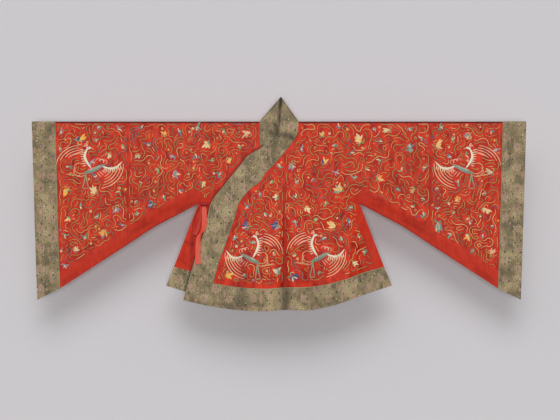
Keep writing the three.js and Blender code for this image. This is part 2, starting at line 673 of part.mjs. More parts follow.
function add(parent, name, geometry, color, roughness = 0.8, metalness = 0) {
  const material = new THREE.MeshStandardMaterial({ color, roughness, metalness });
  const mesh = new THREE.Mesh(geometry, material);
  mesh.name = name;
  parent.add(mesh);
}

const panels = new THREE.Group();
add(panels, "body_wearers_left", bodyLeft(), COLOURS.satin, 0.5);
add(panels, "body_wearers_right", bodyRight(), COLOURS.satin, 0.5);
add(panels, "overlap_outer", overlapOuter(), COLOURS.satin, 0.5);
add(panels, "overlap_inner", overlapInner(), COLOURS.satin, 0.5);
for (const [hand, sign] of [["left", 1], ["right", -1]]) {
  const sleeve = sleevePart(SLEEVE_SEAM_LINE, CUFF_SEAM_LINE, SLEEVE_SHARES, PANEL_OUT, sign);
  const cuff = sleevePart(CUFF_SEAM_LINE, CUFF_EDGE_LINE, CUFF_SHARES, BAND_OUT, sign);
  add(panels, `sleeve_wearers_${hand}`, sleeve, COLOURS.satin, 0.5);
  add(panels, `cuff_wearers_${hand}`, cuff, COLOURS.brocade);
}
jacket.add(panels);

const bands = new THREE.Group();
add(bands, "collar_wearers_left", collar("over", COLLAR_OVER, 1), COLOURS.brocade);
add(bands, "collar_wearers_right", collar("under", COLLAR_UNDER, -1), COLOURS.brocade);
add(bands, "hem_band_front_outer", hemBandOuter(), COLOURS.brocade);
add(bands, "hem_band_front_inner", hemBandInner(), COLOURS.brocade);
add(bands, "hem_band_back", hemBandBack(), COLOURS.brocade);
jacket.add(bands);

const ties = new THREE.Group();
add(ties, "tie_knot", knot(), COLOURS.knot);
add(ties, "tie_tail_long", ribbon(TAIL_LONG), COLOURS.ribbon);
add(ties, "tie_tail_short", ribbon(TAIL_SHORT), COLOURS.ribbon);
add(ties, "tie_loop", ribbon(TIE_LOOP), COLOURS.ribbon);
jacket.add(ties);

add(jacket, "hanging_rod", rod(), COLOURS.rod, 0.6);

export default jacket;
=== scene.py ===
import math
import random

import bpy
import numpy as np
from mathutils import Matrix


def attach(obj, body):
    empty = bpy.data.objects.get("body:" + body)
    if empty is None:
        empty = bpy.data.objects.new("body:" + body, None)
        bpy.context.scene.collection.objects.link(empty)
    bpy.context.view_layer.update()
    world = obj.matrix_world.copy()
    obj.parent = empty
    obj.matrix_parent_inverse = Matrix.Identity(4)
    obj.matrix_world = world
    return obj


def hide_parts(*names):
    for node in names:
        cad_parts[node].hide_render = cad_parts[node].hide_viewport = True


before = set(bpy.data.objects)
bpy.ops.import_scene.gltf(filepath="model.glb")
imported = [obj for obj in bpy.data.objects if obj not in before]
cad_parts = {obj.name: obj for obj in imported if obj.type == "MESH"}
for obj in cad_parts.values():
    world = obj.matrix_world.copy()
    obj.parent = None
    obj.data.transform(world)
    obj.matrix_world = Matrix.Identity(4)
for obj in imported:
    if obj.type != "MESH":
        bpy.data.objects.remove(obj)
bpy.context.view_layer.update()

# ---------------------------------------------------------------------------------------------
# Wearer's left half of the body: one width of silk satin, front and back in one, folded over the
# rod at the shoulder. Its front lies over the other. The cloth is laid out flat, where x is the
# distance from the centre and d the depth below the shoulder line, both in mm, and is moved out
# to the front or the back by how far it hangs from the rod's plane.

MM = 0.001
ROD_RADIUS = 11
WALL_IN = 0.8  # from the middle of the cloth to its inner face
PANEL_OUT = 0.8
SEAM_GAP = 0.3
FOLD_RADIUS = ROD_RADIUS + 0.5 + WALL_IN
SEAM_DEPTH = WALL_IN + SEAM_GAP / 2

ARMPIT = (334, 340)
SLEEVE_SEAM_X, SLEEVE_SEAM_LOW = 627, (627, 509)
UNDERARM_BEND = (520, 438)
CUFF_SEAM_X, CUFF_SEAM_LOW = 927, (908, 691)
CUFF_EDGE_X, CUFF_EDGE_LOW = 1025, (1003, 739)
SIDE_HEM, SIDE_BAND = (469, 680), (436, 602)
NECK_X, PEAK, BACK_NECK_D = 80, (8, -102), 22
CENTRE_FRONT_X = 20
SEAM_REACH = 150
BELLY, BELLY_REACH = {"over": 26, "under": 26, "back": 16}, 470
BELLY_TOP, BELLY_RUN = 80, 560  # depths over which the body fills out
COLLAR_TAPER = 0.45  # how much thinner the standing collar gets at its peak
OVER_LIFT, OVER_FADE_X = 4, 250  # how far the left front is held off the one under it
COVER_RUN, LEAST_GAP, MOST_PRESS = 60, 2, 14  # how the covered front is pressed flat

# seam x and depth, free edge x and depth, down the band that crosses over
COLLAR_OVER = [
    (80, 20, 6, -45), (78, 42, 2, 5), (68, 66, -6, 35), (52, 90, -32, 68), (33, 115, -62, 98),
    (20, 130.6, -82, 113), (-20, 176, -130, 142), (-53, 211, -152, 170), (-80, 250, -179, 203),
    (-116, 277, -205, 235), (-149, 313, -236, 275), (-168, 343, -264, 308),
    (-179, 383, -285, 345), (-194, 430, -297, 398), (-214, 486, -312, 457),
    (-232, 538, -328, 511), (-249, 585, -345, 560), (-261, 627, -358, 602),
    (-273, 669, -371, 645), (-299, 762, -397, 740),
]
CROSS_ROW, BAND_ROW = 5, 18  # where the seam meets the centre front, and the hem band
# seam x and depth, hem x and depth, along the bottom band
HEM = [
    (-273, 669, -299, 762), (-170, 685, -190, 778), (-62, 691, -70, 785), (20, 686, 20, 779),
    (120, 684, 126, 780), (203, 672, 216, 763), (282, 650, 303, 735), (350, 625, 376, 709),
    (436, 602, 469, 680),
]
# folds as lines on the flat cloth: x, d, x, d, half-width, height (troughs are negative)
FRONT_FOLDS = [
    (22, 380, 27, 800, 17, -10), (-30, 430, -42, 800, 24, 4), (76, 440, 88, 800, 26, 5),
    (-140, 520, -160, 800, 34, -6), (160, 520, 172, 800, 34, -5), (318, 370, 250, 780, 36, 6),
    (372, 470, 352, 740, 24, -5), (360, 300, 640, 440, 34, 6), (420, 250, 700, 350, 40, -4),
    (-360, 300, -640, 440, 34, 6), (-420, 250, -700, 350, 40, -4), (800, 90, 850, 600, 46, 5),
    (-800, 90, -850, 600, 46, 5),
]
BACK_FOLDS = [
    (4, 330, 0, 800, 30, -7), (120, 420, 140, 800, 38, 6), (-130, 440, -146, 800, 38, 5),
    (250, 420, 290, 760, 36, -5), (-260, 410, -300, 760, 36, -4), (360, 290, 660, 450, 38, 6),
    (-370, 300, -640, 430, 38, 5), (790, 120, 840, 610, 50, -4), (-810, 110, -850, 600, 50, 4),
]
# creases left by folding and hanging, finer than the folds and never two alike
FRONT_CREASES = [
    (24, 250, 23, 470, 8, -2.2), (12, 330, 8, 640, 10, 1.6), (38, 360, 44, 690, 9, 1.8),
    (-62, 470, -74, 690, 9, -1.8), (-96, 400, -108, 640, 12, 1.7), (110, 470, 118, 700, 10, -1.9),
    (136, 430, 150, 640, 12, 1.5), (196, 500, 214, 690, 11, 1.8), (228, 430, 262, 680, 10, -1.7),
    (286, 400, 320, 650, 12, 2.2), (330, 420, 396, 620, 9, -2.4), (346, 400, 420, 590, 8, 2.0),
    (300, 352, 250, 470, 10, 2.2), (316, 346, 210, 420, 12, -1.7), (326, 330, 300, 250, 10, 1.8),
    (344, 350, 470, 420, 9, 2.6), (350, 340, 540, 400, 10, -2.0), (352, 322, 500, 300, 12, 1.6),
    (420, 380, 600, 486, 9, -1.8), (470, 330, 690, 404, 12, 1.5), (560, 430, 780, 560, 11, 1.9),
    (640, 330, 820, 402, 14, -1.6), (720, 470, 880, 590, 12, -1.8), (790, 560, 900, 660, 9, 1.7),
    (700, 120, 720, 320, 18, 1.3), (560, 60, 574, 260, 16, -1.2), (430, 40, 452, 220, 20, 1.2),
    (856, 60, 872, 330, 13, -1.5), (890, 300, 896, 640, 10, 1.6), (626, 20, 626, 480, 6, -0.9),
    (250, 60, 214, 300, 20, 1.5), (160, 150, 130, 330, 18, -1.3), (84, 200, 70, 360, 15, 1.3),
    (-344, 352, -480, 430, 9, 2.3), (-352, 338, -530, 392, 11, -2.0), (-356, 320, -480, 296, 12, 1.7),
    (-430, 390, -590, 478, 9, -1.7), (-480, 338, -700, 420, 13, 1.6), (-570, 440, -760, 552, 10, 1.8),
    (-650, 320, -830, 410, 15, -1.5), (-740, 480, -886, 604, 11, -1.9), (-800, 570, -900, 668, 9, 1.5),
    (-690, 130, -716, 330, 17, 1.2), (-570, 50, -580, 250, 18, -1.3), (-420, 46, -446, 210, 19, 1.3),
    (-850, 70, -868, 350, 14, -1.4), (-884, 290, -898, 650, 9, 1.5), (-626, 20, -626, 480, 6, -0.9),
    (-316, 350, -372, 560, 10, -2.4), (-330, 360, -410, 590, 8, 2.4), (-290, 330, -300, 240, 12, 1.8),
    (-230, 60, -210, 220, 19, 1.3), (-140, 40, -150, 190, 16, -1.2), (-300, 120, -280, 250, 18, -1.3),
]
BACK_CREASES = [
    (30, 380, 36, 690, 10, 1.7), (-36, 420, -46, 700, 9, -1.6), (84, 450, 92, 660, 10, -1.8),
    (-90, 400, -98, 650, 12, 1.5), (186, 430, 204, 680, 11, 1.8), (-190, 450, -212, 690, 10, -1.7),
    (300, 400, 352, 640, 10, -2.0), (-310, 390, -360, 620, 9, 2.1), (340, 370, 410, 590, 8, 1.9),
    (348, 344, 500, 420, 9, 2.2), (352, 330, 560, 396, 11, -1.9), (-346, 350, -510, 440, 10, 2.1),
    (-352, 330, -540, 380, 11, -1.8), (440, 390, 640, 500, 10, 1.6), (-450, 400, -620, 486, 11, -1.6),
    (620, 430, 820, 570, 12, -1.7), (-600, 420, -790, 560, 11, 1.6), (700, 110, 716, 340, 17, 1.2),
    (-710, 120, -730, 320, 18, -1.2), (500, 60, 516, 240, 19, -1.2), (-480, 50, -500, 230, 18, 1.2),
    (626, 20, 626, 480, 6, -0.9), (-626, 20, -626, 480, 6, -0.9), (880, 200, 892, 620, 11, 1.4),
    (-876, 240, -896, 640, 12, 1.3), (200, 50, 180, 260, 20, 1.3), (-210, 60, -190, 240, 18, -1.2),
]
# painted shade at the neck, in its slit, crease and folds: lines as above, half-width, strength
NECK_SHADE = [
    (8, -104, 6, -72, 7, 1.8), (5, -74, 0, 20, 6, 1.1), (-12, 18, -6, 52, 16, 1.1),
    (-34, 46, 20, 56, 15, 0.9), (20, 54, 58, 68, 13, 0.95), (-70, -20, -14, -84, 11, 0.85),
    (78, -8, 20, -88, 6, 0.55), (28, 84, 42, 102, 6, 0.5), (-30, 84, -14, 90, 6, 0.5),
]
# sheen along the plain strips, written as folds: where light catches it (below 0) or leaves it
STRIP_SHEEN = [
    (-910, 676, -820, 616, 9, 0.4), (-850, 618, -670, 504, 15, -0.9), (-640, 472, -480, 388, 9, 0.45),
    (-620, 432, -540, 396, 7, 0.35), (-560, 412, -380, 322, 15, -1.0), (-440, 380, -340, 328, 8, 0.6),
    (900, 668, 790, 596, 9, 0.45), (820, 608, 660, 506, 15, -0.7), (650, 480, 480, 388, 10, 0.45),
    (600, 430, 540, 396, 7, 0.35), (520, 410, 350, 328, 12, -0.9), (460, 344, 350, 296, 9, 0.4),
    (-360, 440, -362, 640, 8, 0.7), (-410, 490, -342, 514, 7, 0.5), (-424, 560, -356, 612, 7, 0.5),
    (-350, 380, -336, 500, 7, 0.6),
]
DARK_FOLD, DARK_CREASE = 12, 4  # fold and crease depths at which the painted shade is deepest
# strength and half-width of the painted shade along the underarm seam, which fades out past a point on the
# sleeve, and of the painted shadow beside the edge of the band that crosses over
SEAM_SHADE, SEAM_SHADE_FADE_X, EDGE_SHADOW = (0.9, 5), 450, (1.3, 7)
TOP_LINE = [(-CUFF_EDGE_X, 0), (-NECK_X, 0), PEAK, (NECK_X, 0), (CUFF_EDGE_X, 0)]
UNDERARM = [CUFF_EDGE_LOW, CUFF_SEAM_LOW, SLEEVE_SEAM_LOW, UNDERARM_BEND, ARMPIT, SIDE_BAND, SIDE_HEM]


def smooth(t):
    t = np.clip(t, 0, 1)
    return t * t * (3 - 2 * t)


def gap_to(x, d, p, q):
    ux, ud = q[0] - p[0], q[1] - p[1]
    along = np.clip(((x - p[0]) * ux + (d - p[1]) * ud) / (ux * ux + ud * ud), 0, 1)
    return np.hypot(x - p[0] - along * ux, d - p[1] - along * ud), along


def gap_to_line(x, d, line):
    return np.min([gap_to(x, d, p, q)[0] for p, q in zip(line, line[1:])], axis=0)


def near(gap, width):
    return np.exp(-((gap / width) ** 2))


def parting(x, d):
    """0 on an underarm or side seam, 1 where front and back have fully parted."""
    return 1 - (1 - np.clip(gap_to_line(np.abs(x), d, UNDERARM) / SEAM_REACH, 0, 1)) ** 2


def fold_height(x, d, folds):
    total = np.zeros(np.shape(x))
    for x1, d1, x2, d2, width, height in folds:
        gap, along = gap_to(x, d, (x1, d1), (x2, d2))
        fade = smooth(along / 0.25) * (1 if d2 > 780 else smooth((1 - along) / 0.25))
        total += height * fade * near(gap, width)
    return total


def hang(x, d, layer):
    """How far the middle of the cloth hangs from the rod's plane."""
    part = parting(x, d)
    bend = np.sqrt(1 - (1 - np.clip(gap_to_line(x, d, TOP_LINE) / FOLD_RADIUS, 0, 1)) ** 2)
    round_off = np.maximum(0, 1 - (x / BELLY_REACH) ** 2) ** 2
    swell = BELLY[layer] * round_off * smooth((d - BELLY_TOP) / BELLY_RUN)
    taper = np.where(d < 0, 1 - COLLAR_TAPER * d / PEAK[1], 1)
    plain = bend * taper * (SEAM_DEPTH + part * (FOLD_RADIUS + swell - SEAM_DEPTH))
    folds = BACK_FOLDS + BACK_CREASES if layer == "back" else FRONT_FOLDS + FRONT_CREASES
    full = plain + part * bend * fold_height(x, d, folds)
    if layer == "over":
        step = smooth((d + 0.8 * np.maximum(0, NECK_X - x) - 5) / 50)
        fade = 1 - smooth((x - OVER_FADE_X) / OVER_FADE_X)
        return full + OVER_LIFT * step * fade * np.where(x > 0, part, 1)
    if layer == "under":
        free_x, free_d = [r[2] for r in COLLAR_OVER[1:]], [r[3] for r in COLLAR_OVER[1:]]
        edge = np.where(d <= free_d[0], 1e6, np.interp(d, free_d, free_x))
        covered = smooth((x - edge) / COVER_RUN) * part
        press = np.minimum(MOST_PRESS, np.maximum(0, plain - LEAST_GAP) / 2)
        return full + covered * (plain - press - full)
    return full


def painted_shade(x, d, layer):
    """Painted shade on the cloth: 1 at its deepest in folds and shaded lines, below 0 painted highlight on
    ridges.
    """
    back = layer == "back"
    folds = fold_height(x, d, BACK_FOLDS if back else FRONT_FOLDS)
    creases = fold_height(x, d, BACK_CREASES if back else FRONT_CREASES)
    deep = np.clip(-folds / DARK_FOLD - creases / DARK_CREASE, -1, 1) * parting(x, d)
    if not back:
        # painted shade at the neck
        for x1, d1, x2, d2, width, strength in NECK_SHADE:
            gap = gap_to(x, d, (x1, d1), (x2, d2))[0]
            deep = np.maximum(deep, strength * near(gap, width))
        deep = deep + fold_height(x, d, STRIP_SHEEN)
    # painted shade along the underarm seam
    strength, width = SEAM_SHADE
    seam_gap = gap_to_line(np.abs(x), d, UNDERARM[1:5])
    deep = np.maximum(deep, strength * smooth(2 - np.abs(x) / SEAM_SHADE_FADE_X) * near(seam_gap, width))
    if layer == "under":
        # painted shadow beside the edge of the band that crosses over
        strength, width = EDGE_SHADOW
        edge = [row[2:] for row in COLLAR_OVER[4:]]
        deep = np.maximum(deep, strength * near(gap_to_line(x, d, edge), width))
    return deep


def outwards(x, d, layer):
    """Unit vectors that point out of the cloth."""
    e = 0.2
    side = 1 if layer == "back" else -1
    across = (hang(x + e, d, layer) - hang(x - e, d, layer)) / (2 * e)
    down = (hang(x, d + e, layer) - hang(x, d - e, layer)) / (2 * e)
    normal = np.stack([-across, np.full(np.shape(x), float(side)), down], axis=-1)
    on_fold = gap_to_line(x, d, TOP_LINE) < 0.01
    on_collar = on_fold & (np.abs(x) < NECK_X - 0.01) & (np.abs(x - PEAK[0]) > 0.01)
    hand = np.sign(x - PEAK[0])
    run = np.abs(hand * NECK_X - PEAK[0])
    ridge = np.stack([-PEAK[1] * hand, np.zeros(np.shape(x)), run], axis=-1)
    normal = np.where(on_fold[..., None], np.array([0.0, 0.0, 1.0]), normal)
    normal = np.where(on_collar[..., None], ridge, normal)
    return normal / np.linalg.norm(normal, axis=-1, keepdims=True)


def on_cloth(points, layer, lift):
    """Places in space, in mm, of points on the flat cloth, lifted off the middle of its wall."""
    x, d = points[..., 0], points[..., 1]
    side = 1 if layer == "back" else -1
    place = np.stack([x, side * hang(x, d, layer), FOLD_RADIUS - d], axis=-1)
    return place + outwards(x, d, layer) * np.asarray(lift)[..., None]


def through(points, parts):
    """A smooth line through the rows of a table, each stretch cut into parts."""
    p = np.array(points, float)
    p = np.vstack([2 * p[0] - p[1], p, 2 * p[-1] - p[-2]])
    t = np.linspace(0, 1, parts + 1)[:-1, None]
    rows = []
    for a, b, c, e in zip(p, p[1:], p[2:], p[3:]):
        rows.append(
            0.5 * (2 * b + (c - a) * t + (2 * a - 5 * b + 4 * c - e) * t**2
                   + (3 * b - a - 3 * c + e) * t**3)
        )
    return np.vstack(rows + [p[-2:-1]])


def even(p, q, count):
    """Points from p to q at even shares."""
    return np.array(p, float) + np.linspace(0, 1, count + 1)[:, None] * (np.array(q, float) - p)


FOLD_D = FOLD_RADIUS * (1 - np.cos(np.linspace(0, math.pi / 2, 9)))
ARM_ROWS, SIDE_ROWS = 60, 44


def sleeve_line(top_x, low):
    """Stations down a sleeve from the fold over the rod to its underarm seam."""
    d = np.concatenate([FOLD_D, np.linspace(FOLD_D[-1], low[1], ARM_ROWS + 1)[1:]])
    return np.column_stack([top_x + (low[0] - top_x) * d / low[1], d])


ROOT = sleeve_line(ARMPIT[0], ARMPIT)
SLEEVE_SEAM = sleeve_line(SLEEVE_SEAM_X, SLEEVE_SEAM_LOW)
BODY_SIDE = np.vstack([ROOT, even(ARMPIT, SIDE_BAND, SIDE_ROWS)[1:]])
FOLD_SEAM = np.column_stack([np.full(9, NECK_X), FOLD_D])
FINE, HEM_FINE = 6, 8  # steps between the rows of the band's table and of the hem's
over_rows = through(COLLAR_OVER, FINE)
hem_rows = through(HEM, HEM_FINE)


def hem_line(xs, low):
    """Points on the seam above the bottom band, or on the hem, at distances from the centre."""
    columns = (2, 3) if low else (0, 1)
    return np.column_stack([np.interp(xs, hem_rows[:, 0], hem_rows[:, c]) for c in columns])


def patch(layer, top, bottom, left, right):
    """A grid between four edges, which run left to right and top to bottom."""
    def shares(line):
        run = np.concatenate([[0], np.cumsum(np.linalg.norm(np.diff(line, axis=0), axis=1))])
        return run / run[-1] if run[-1] > 0 else np.linspace(0, 1, len(line))
    rows = np.linspace(0, 1, len(left))[:, None]
    u = shares(top)[None] * (1 - rows) + shares(bottom)[None] * rows
    v = shares(left)[:, None] * (1 - u) + shares(right)[:, None] * u
    u, v = u[..., None], v[..., None]
    corners = (top[0] * (1 - u) + top[-1] * u) * (1 - v) + (bottom[0] * (1 - u) + bottom[-1] * u) * v
    grid = top[None] * (1 - v) + bottom[None] * v + left[:, None] * (1 - u) + right[:, None] * u
    return layer, grid - corners


def mirrored(patches):
    return [(layer, grid * np.array([-1, 1])) for layer, grid in patches]


def shell(name, patches, out):
    """One closed wall of cloth: the patches welded, drawn in at the seams and thickened."""
    places, normals, flats, cells, backs, lows, start = [], [], [], [], [], [], 0
    for layer, grid in patches:
        count = grid.shape[0] * grid.shape[1]
        index = np.arange(start, start + count).reshape(grid.shape[:2])
        places.append(on_cloth(grid, layer, np.zeros(grid.shape[:2])).reshape(-1, 3))
        normals.append(outwards(grid[..., 0], grid[..., 1], layer).reshape(-1, 3))
        flats.append(grid.reshape(-1, 2))
        lows.append(painted_shade(grid[..., 0], grid[..., 1], layer).ravel())
        a, b, c, e = index[:-1, :-1], index[1:, :-1], index[1:, 1:], index[:-1, 1:]
        p, q = grid[1:, 1:] - grid[:-1, :-1], grid[:-1, 1:] - grid[1:, :-1]
        turned = ((p[..., 0] * q[..., 1] - p[..., 1] * q[..., 0] > 0) != (layer == "back"))
        one, two = np.stack([a, b, c], -1), np.stack([a, c, e], -1)
        for triangles in (one, two):
            triangles = np.where(turned[..., None], triangles[..., ::-1], triangles).reshape(-1, 3)
            cells.append(triangles)
            backs.append(np.full(len(triangles), layer == "back"))
        start += count
    places, normals, flats = np.vstack(places), np.vstack(normals), np.vstack(flats)
    triangles, backs = np.vstack(cells), np.concatenate(backs)
    keys = np.round(places * 100 + 0.13).astype(np.int64)
    _, first, joined = np.unique(keys, axis=0, return_index=True, return_inverse=True)
    places, normals, flats = places[first], normals[first], flats[first]
    lows = np.concatenate(lows)[first]
    triangles = joined.reshape(-1)[triangles]
    kept = (
        (triangles[:, 0] != triangles[:, 1])
        & (triangles[:, 1] != triangles[:, 2])
        & (triangles[:, 0] != triangles[:, 2])
    )
    triangles, backs = triangles[kept], backs[kept]
    n = len(places)
    sides = np.vstack([triangles[:, [0, 1]], triangles[:, [1, 2]], triangles[:, [2, 0]]])
    edge_backs = np.concatenate([backs] * 3)
    border = ~np.isin(sides[:, 1] * n + sides[:, 0], sides[:, 0] * n + sides[:, 1])
    rim, rim_backs = sides[border], edge_backs[border]
    along = places[rim[:, 1]] - places[rim[:, 0]]
    along /= np.linalg.norm(along, axis=1, keepdims=True)
    pull = np.zeros((n, 3))
    for column in (0, 1):
        inward = np.cross(normals[rim[:, column]], along)
        np.add.at(pull, rim[:, column], inward / np.linalg.norm(inward, axis=1, keepdims=True))
    size = np.maximum(0.2, (pull**2).sum(1) / 2)[:, None]
    places = places + pull * SEAM_GAP / 2 / size
    vertices = np.vstack([places + normals * out, places - normals * WALL_IN])
    a, b = rim[:, 0], rim[:, 1]
    faces = np.vstack([
        triangles, triangles[:, ::-1] + n,
        np.column_stack([a, a + n, b]), np.column_stack([b, a + n, b + n]),
    ])
    face_backs = np.concatenate([backs, backs, rim_backs, rim_backs])
    flats = np.vstack([flats, flats])
    flat = flats[faces] * np.array([MM, -MM])
    flat[..., 0] += np.where(face_backs, 3.0, 0.0)[:, None]
    made = solid(name, vertices, faces, flat)
    # painted shade and highlight, read by the materials
    mark(made.data, "painted_shade", np.concatenate([lows, lows]))
    mark(made.data, "parting", parting(flats[:, 0], flats[:, 1]))
    return made


def mark(mesh, name, values, kind="FLOAT", field="value"):
    """Stores a value, a direction or a colour at every point, for a material or a tree to read."""
    stored = mesh.attributes.new(name, kind, "POINT")
    stored.data.foreach_set(field, np.asarray(values, np.float32).ravel())


def solid(name, vertices, faces, flat=None):
    """A named mesh in metres from arrays in mm, with its flat layout as its UV map."""
    mesh = bpy.data.meshes.new(name)
    mesh.vertices.add(len(vertices))
    mesh.vertices.foreach_set("co", (vertices * MM).astype(np.float32).ravel())
    mesh.loops.add(len(faces) * 3)
    mesh.loops.foreach_set("vertex_index", faces.astype(np.int32).ravel())
    mesh.polygons.add(len(faces))
    mesh.polygons.foreach_set("loop_start", np.arange(0, len(faces) * 3, 3, dtype=np.int32))
    if flat is not None:
        layer = mesh.uv_layers.new(name="UVMap")
        layer.data.foreach_set("uv", flat.astype(np.float32).ravel())
    mesh.update(calc_edges=True)
    mesh.validate()
    mesh.polygons.foreach_set("use_smooth", np.ones(len(mesh.polygons), dtype=bool))
    mesh.set_sharp_from_angle(angle=math.radians(50))
    made = bpy.data.objects.new(name, mesh)
    bpy.context.scene.collection.objects.link(made)
    return made


def linear(text):
    """Linear colour from an sRGB hex value."""
    parts = [int(text[i : i + 2], 16) / 255 for i in (1, 3, 5)]
    return [c / 12.92 if c <= 0.04045 else ((c + 0.055) / 1.055) ** 2.4 for c in parts] + [1.0]


def feed(tree, node, inputs):
    """Sets a node's inputs, each to a number, a colour, a socket or another node's first output."""
    for key, value in inputs.items():
        if isinstance(value, bpy.types.Node):
            value = next(socket for socket in value.outputs if socket.enabled)
        if isinstance(value, bpy.types.NodeSocket):
            tree.links.new(value, node.inputs[key])
        else:
            node.inputs[key].default_value = value


def add(tree, kind, inputs=None, **settings):
    """Adds a node with its settings and its links."""
    made = tree.nodes.new(kind)
    for key, value in settings.items():
        setattr(made, key, value)
    feed(tree, made, inputs or {})
    return made


def finish(name):
    """A new material under its maker's name, with its tree and its surface shader."""
    made = bpy.data.materials.new(name)
    made.use_nodes = True
    return made, made.node_tree, made.node_tree.nodes["Principled BSDF"]


RGBA = {"data_type": "RGBA"}


def shade_folds(tree, colour, dark, light):
    """Painted shade and highlight: deepens a colour down in the folds and lifts it a little on their
    ridges.
    """
    low = add(tree, "ShaderNodeAttribute", attribute_name="painted_shade").outputs["Fac"]
    deep = add(tree, "ShaderNodeMapRange", {0: low, 1: 0.0, 2: 1.35, 3: 0.0, 4: 1.0})
    high = add(tree, "ShaderNodeMapRange", {0: low, 1: 0.0, 2: -1.0, 3: 0.0, 4: 0.45})
    shaded = add(tree, "ShaderNodeMix", {0: deep, 6: colour, 7: linear(dark)}, **RGBA)
    return add(tree, "ShaderNodeMix", {0: high, 6: shaded, 7: linear(light)}, **RGBA)


# Red silk satin, woven with long floats: a deep red with a soft broad sheen, patches of deeper and lighter
# red and faint streaks along the warp, with painted shade in its folds and a dark line of painted shade
# along the fold over the rod. The patches are fainter on the plain strips along the underarm seams than
# where it is embroidered.
silk_satin, tree, shader = finish("silk_satin_red")
uv = add(tree, "ShaderNodeUVMap", uv_map="UVMap")
place = add(tree, "ShaderNodeSeparateXYZ", {0: uv})
drawn_down = add(tree, "ShaderNodeMapping", {"Vector": uv, "Scale": (44.0, 24.0, 1.0)})
patchy = add(tree, "ShaderNodeTexNoise", {"Vector": drawn_down, "Scale": 1.0, "Detail": 5.0})
patchy = add(tree, "ShaderNodeMapRange", {0: patchy, 1: 0.33, 2: 0.67, 3: -0.5, 4: 0.5})
from_seam = add(tree, "ShaderNodeAttribute", attribute_name="parting").outputs["Fac"]
worked = add(tree, "ShaderNodeMapRange", {0: from_seam, 1: 0.5, 2: 0.75, 3: 0.3, 4: 1.0})
patchy = add(tree, "ShaderNodeMath", {0: patchy, 1: worked, 2: 0.5}, operation="MULTIPLY_ADD")
streaks = add(tree, "ShaderNodeMapping", {"Vector": uv, "Scale": (260.0, 14.0, 1.0)})
warp = add(tree, "ShaderNodeTexNoise", {"Vector": streaks, "Scale": 1.0, "Detail": 2.0})
thin = add(tree, "ShaderNodeMapRange", {0: warp, 1: 0.45, 2: 0.75, 3: 0.0, 4: 0.6})
reds = add(tree, "ShaderNodeMix", {0: patchy, 6: linear("#921509"), 7: linear("#d6371a")}, **RGBA)
streaked = add(tree, "ShaderNodeMix", {0: thin, 6: reds, 7: linear("#d23a1e")}, **RGBA)
# painted shade: a dark line along the fold over the rod
from_fold = add(tree, "ShaderNodeMath", {0: place.outputs["Y"]}, operation="ABSOLUTE")
fold_line = add(tree, "ShaderNodeMapRange", {0: from_fold, 1: 0.003, 2: 0.010, 3: 0.95, 4: 0.0})
# painted shade in the folds and shaded lines, painted highlight on ridges and along the plain strips
folded = shade_folds(tree, streaked, "#6c0b0c", "#e0402a")
rod_fold_shaded = add(tree, "ShaderNodeMix", {0: fold_line, 6: folded, 7: linear("#2c0c0c")}, **RGBA)
weave = add(tree, "ShaderNodeTexNoise", {"Vector": uv, "Scale": 420.0, "Detail": 1.0})
pucker = add(tree, "ShaderNodeTexNoise", {"Vector": uv, "Scale": 46.0, "Detail": 2.0})
relief = add(tree, "ShaderNodeMath", {0: pucker, 1: 3.0, 2: weave}, operation="MULTIPLY_ADD")
bump = add(tree, "ShaderNodeBump", {"Strength": 0.35, "Distance": 0.0006, "Height": relief})
feed(tree, shader, {
    "Base Color": rod_fold_shaded, "Normal": bump, "Roughness": 0.52, "Specular IOR Level": 0.14,
    "Sheen Weight": 0.04, "Sheen Roughness": 0.4, "Sheen Tint": linear("#f08060"),
})
SATIN = (silk_satin, "satin", PANEL_OUT)


def sew(name, cloth, node, patches):
    """Makes a panel or band of a cloth, for a CAD node."""
    material, slot, out = cloth
    piece = shell(name, patches, out)
    piece.data.materials.append(material)
    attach(piece, "root")
    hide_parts(node)


BACK_NECK = [(0, BACK_NECK_D), (30, 21), (60, 18), (NECK_X, FOLD_D[-1])]


def back_half():
    """The back of a half: the bend over the rod, then from the neckline down to the bottom band."""
    end = FOLD_D[-1]
    shoulder = [even((NECK_X, d), (ARMPIT[0], d), 42) for d in (0, end)]
    neck = through(BACK_NECK, FINE)
    top = np.vstack([neck, shoulder[1][1:]])
    xs = np.concatenate([np.linspace(0, 100, 19), np.linspace(100, SIDE_BAND[0], 43)[1:]])
    bottom = hem_line(xs, False)
    side = BODY_SIDE[8:]
    share = ((side[:, 1] - end) / (side[-1, 1] - end))[:, None]
    centre = top[0] + share * (bottom[0] - top[0])
    return [
        patch("back", shoulder[0], shoulder[1], FOLD_SEAM, ROOT[:9]),
        patch("back", top, bottom, centre, side),
    ]


def sleeve_root(layer):
    low = np.vstack([even(ARMPIT, UNDERARM_BEND, 28), even(UNDERARM_BEND, SLEEVE_SEAM_LOW, 16)[1:]])
    top = np.column_stack([low[:, 0], np.zeros(len(low))])
    return patch(layer, top, low, ROOT, SLEEVE_SEAM)


def front_half(layer, inner, centre_x):
    top = even((NECK_X, 0), (ARMPIT[0], 0), 54)
    bottom = hem_line(np.linspace(centre_x, SIDE_BAND[0], 55), False)
    return patch(layer, top, bottom, inner, BODY_SIDE)


def along_line(line, count):
    """A line cut again into even steps along its own length."""
    run = np.concatenate([[0], np.cumsum(np.linalg.norm(np.diff(line, axis=0), axis=1))])
    at = np.linspace(0, run[-1], count + 1)
    return np.column_stack([np.interp(at, run, line[:, k]) for k in (0, 1)])


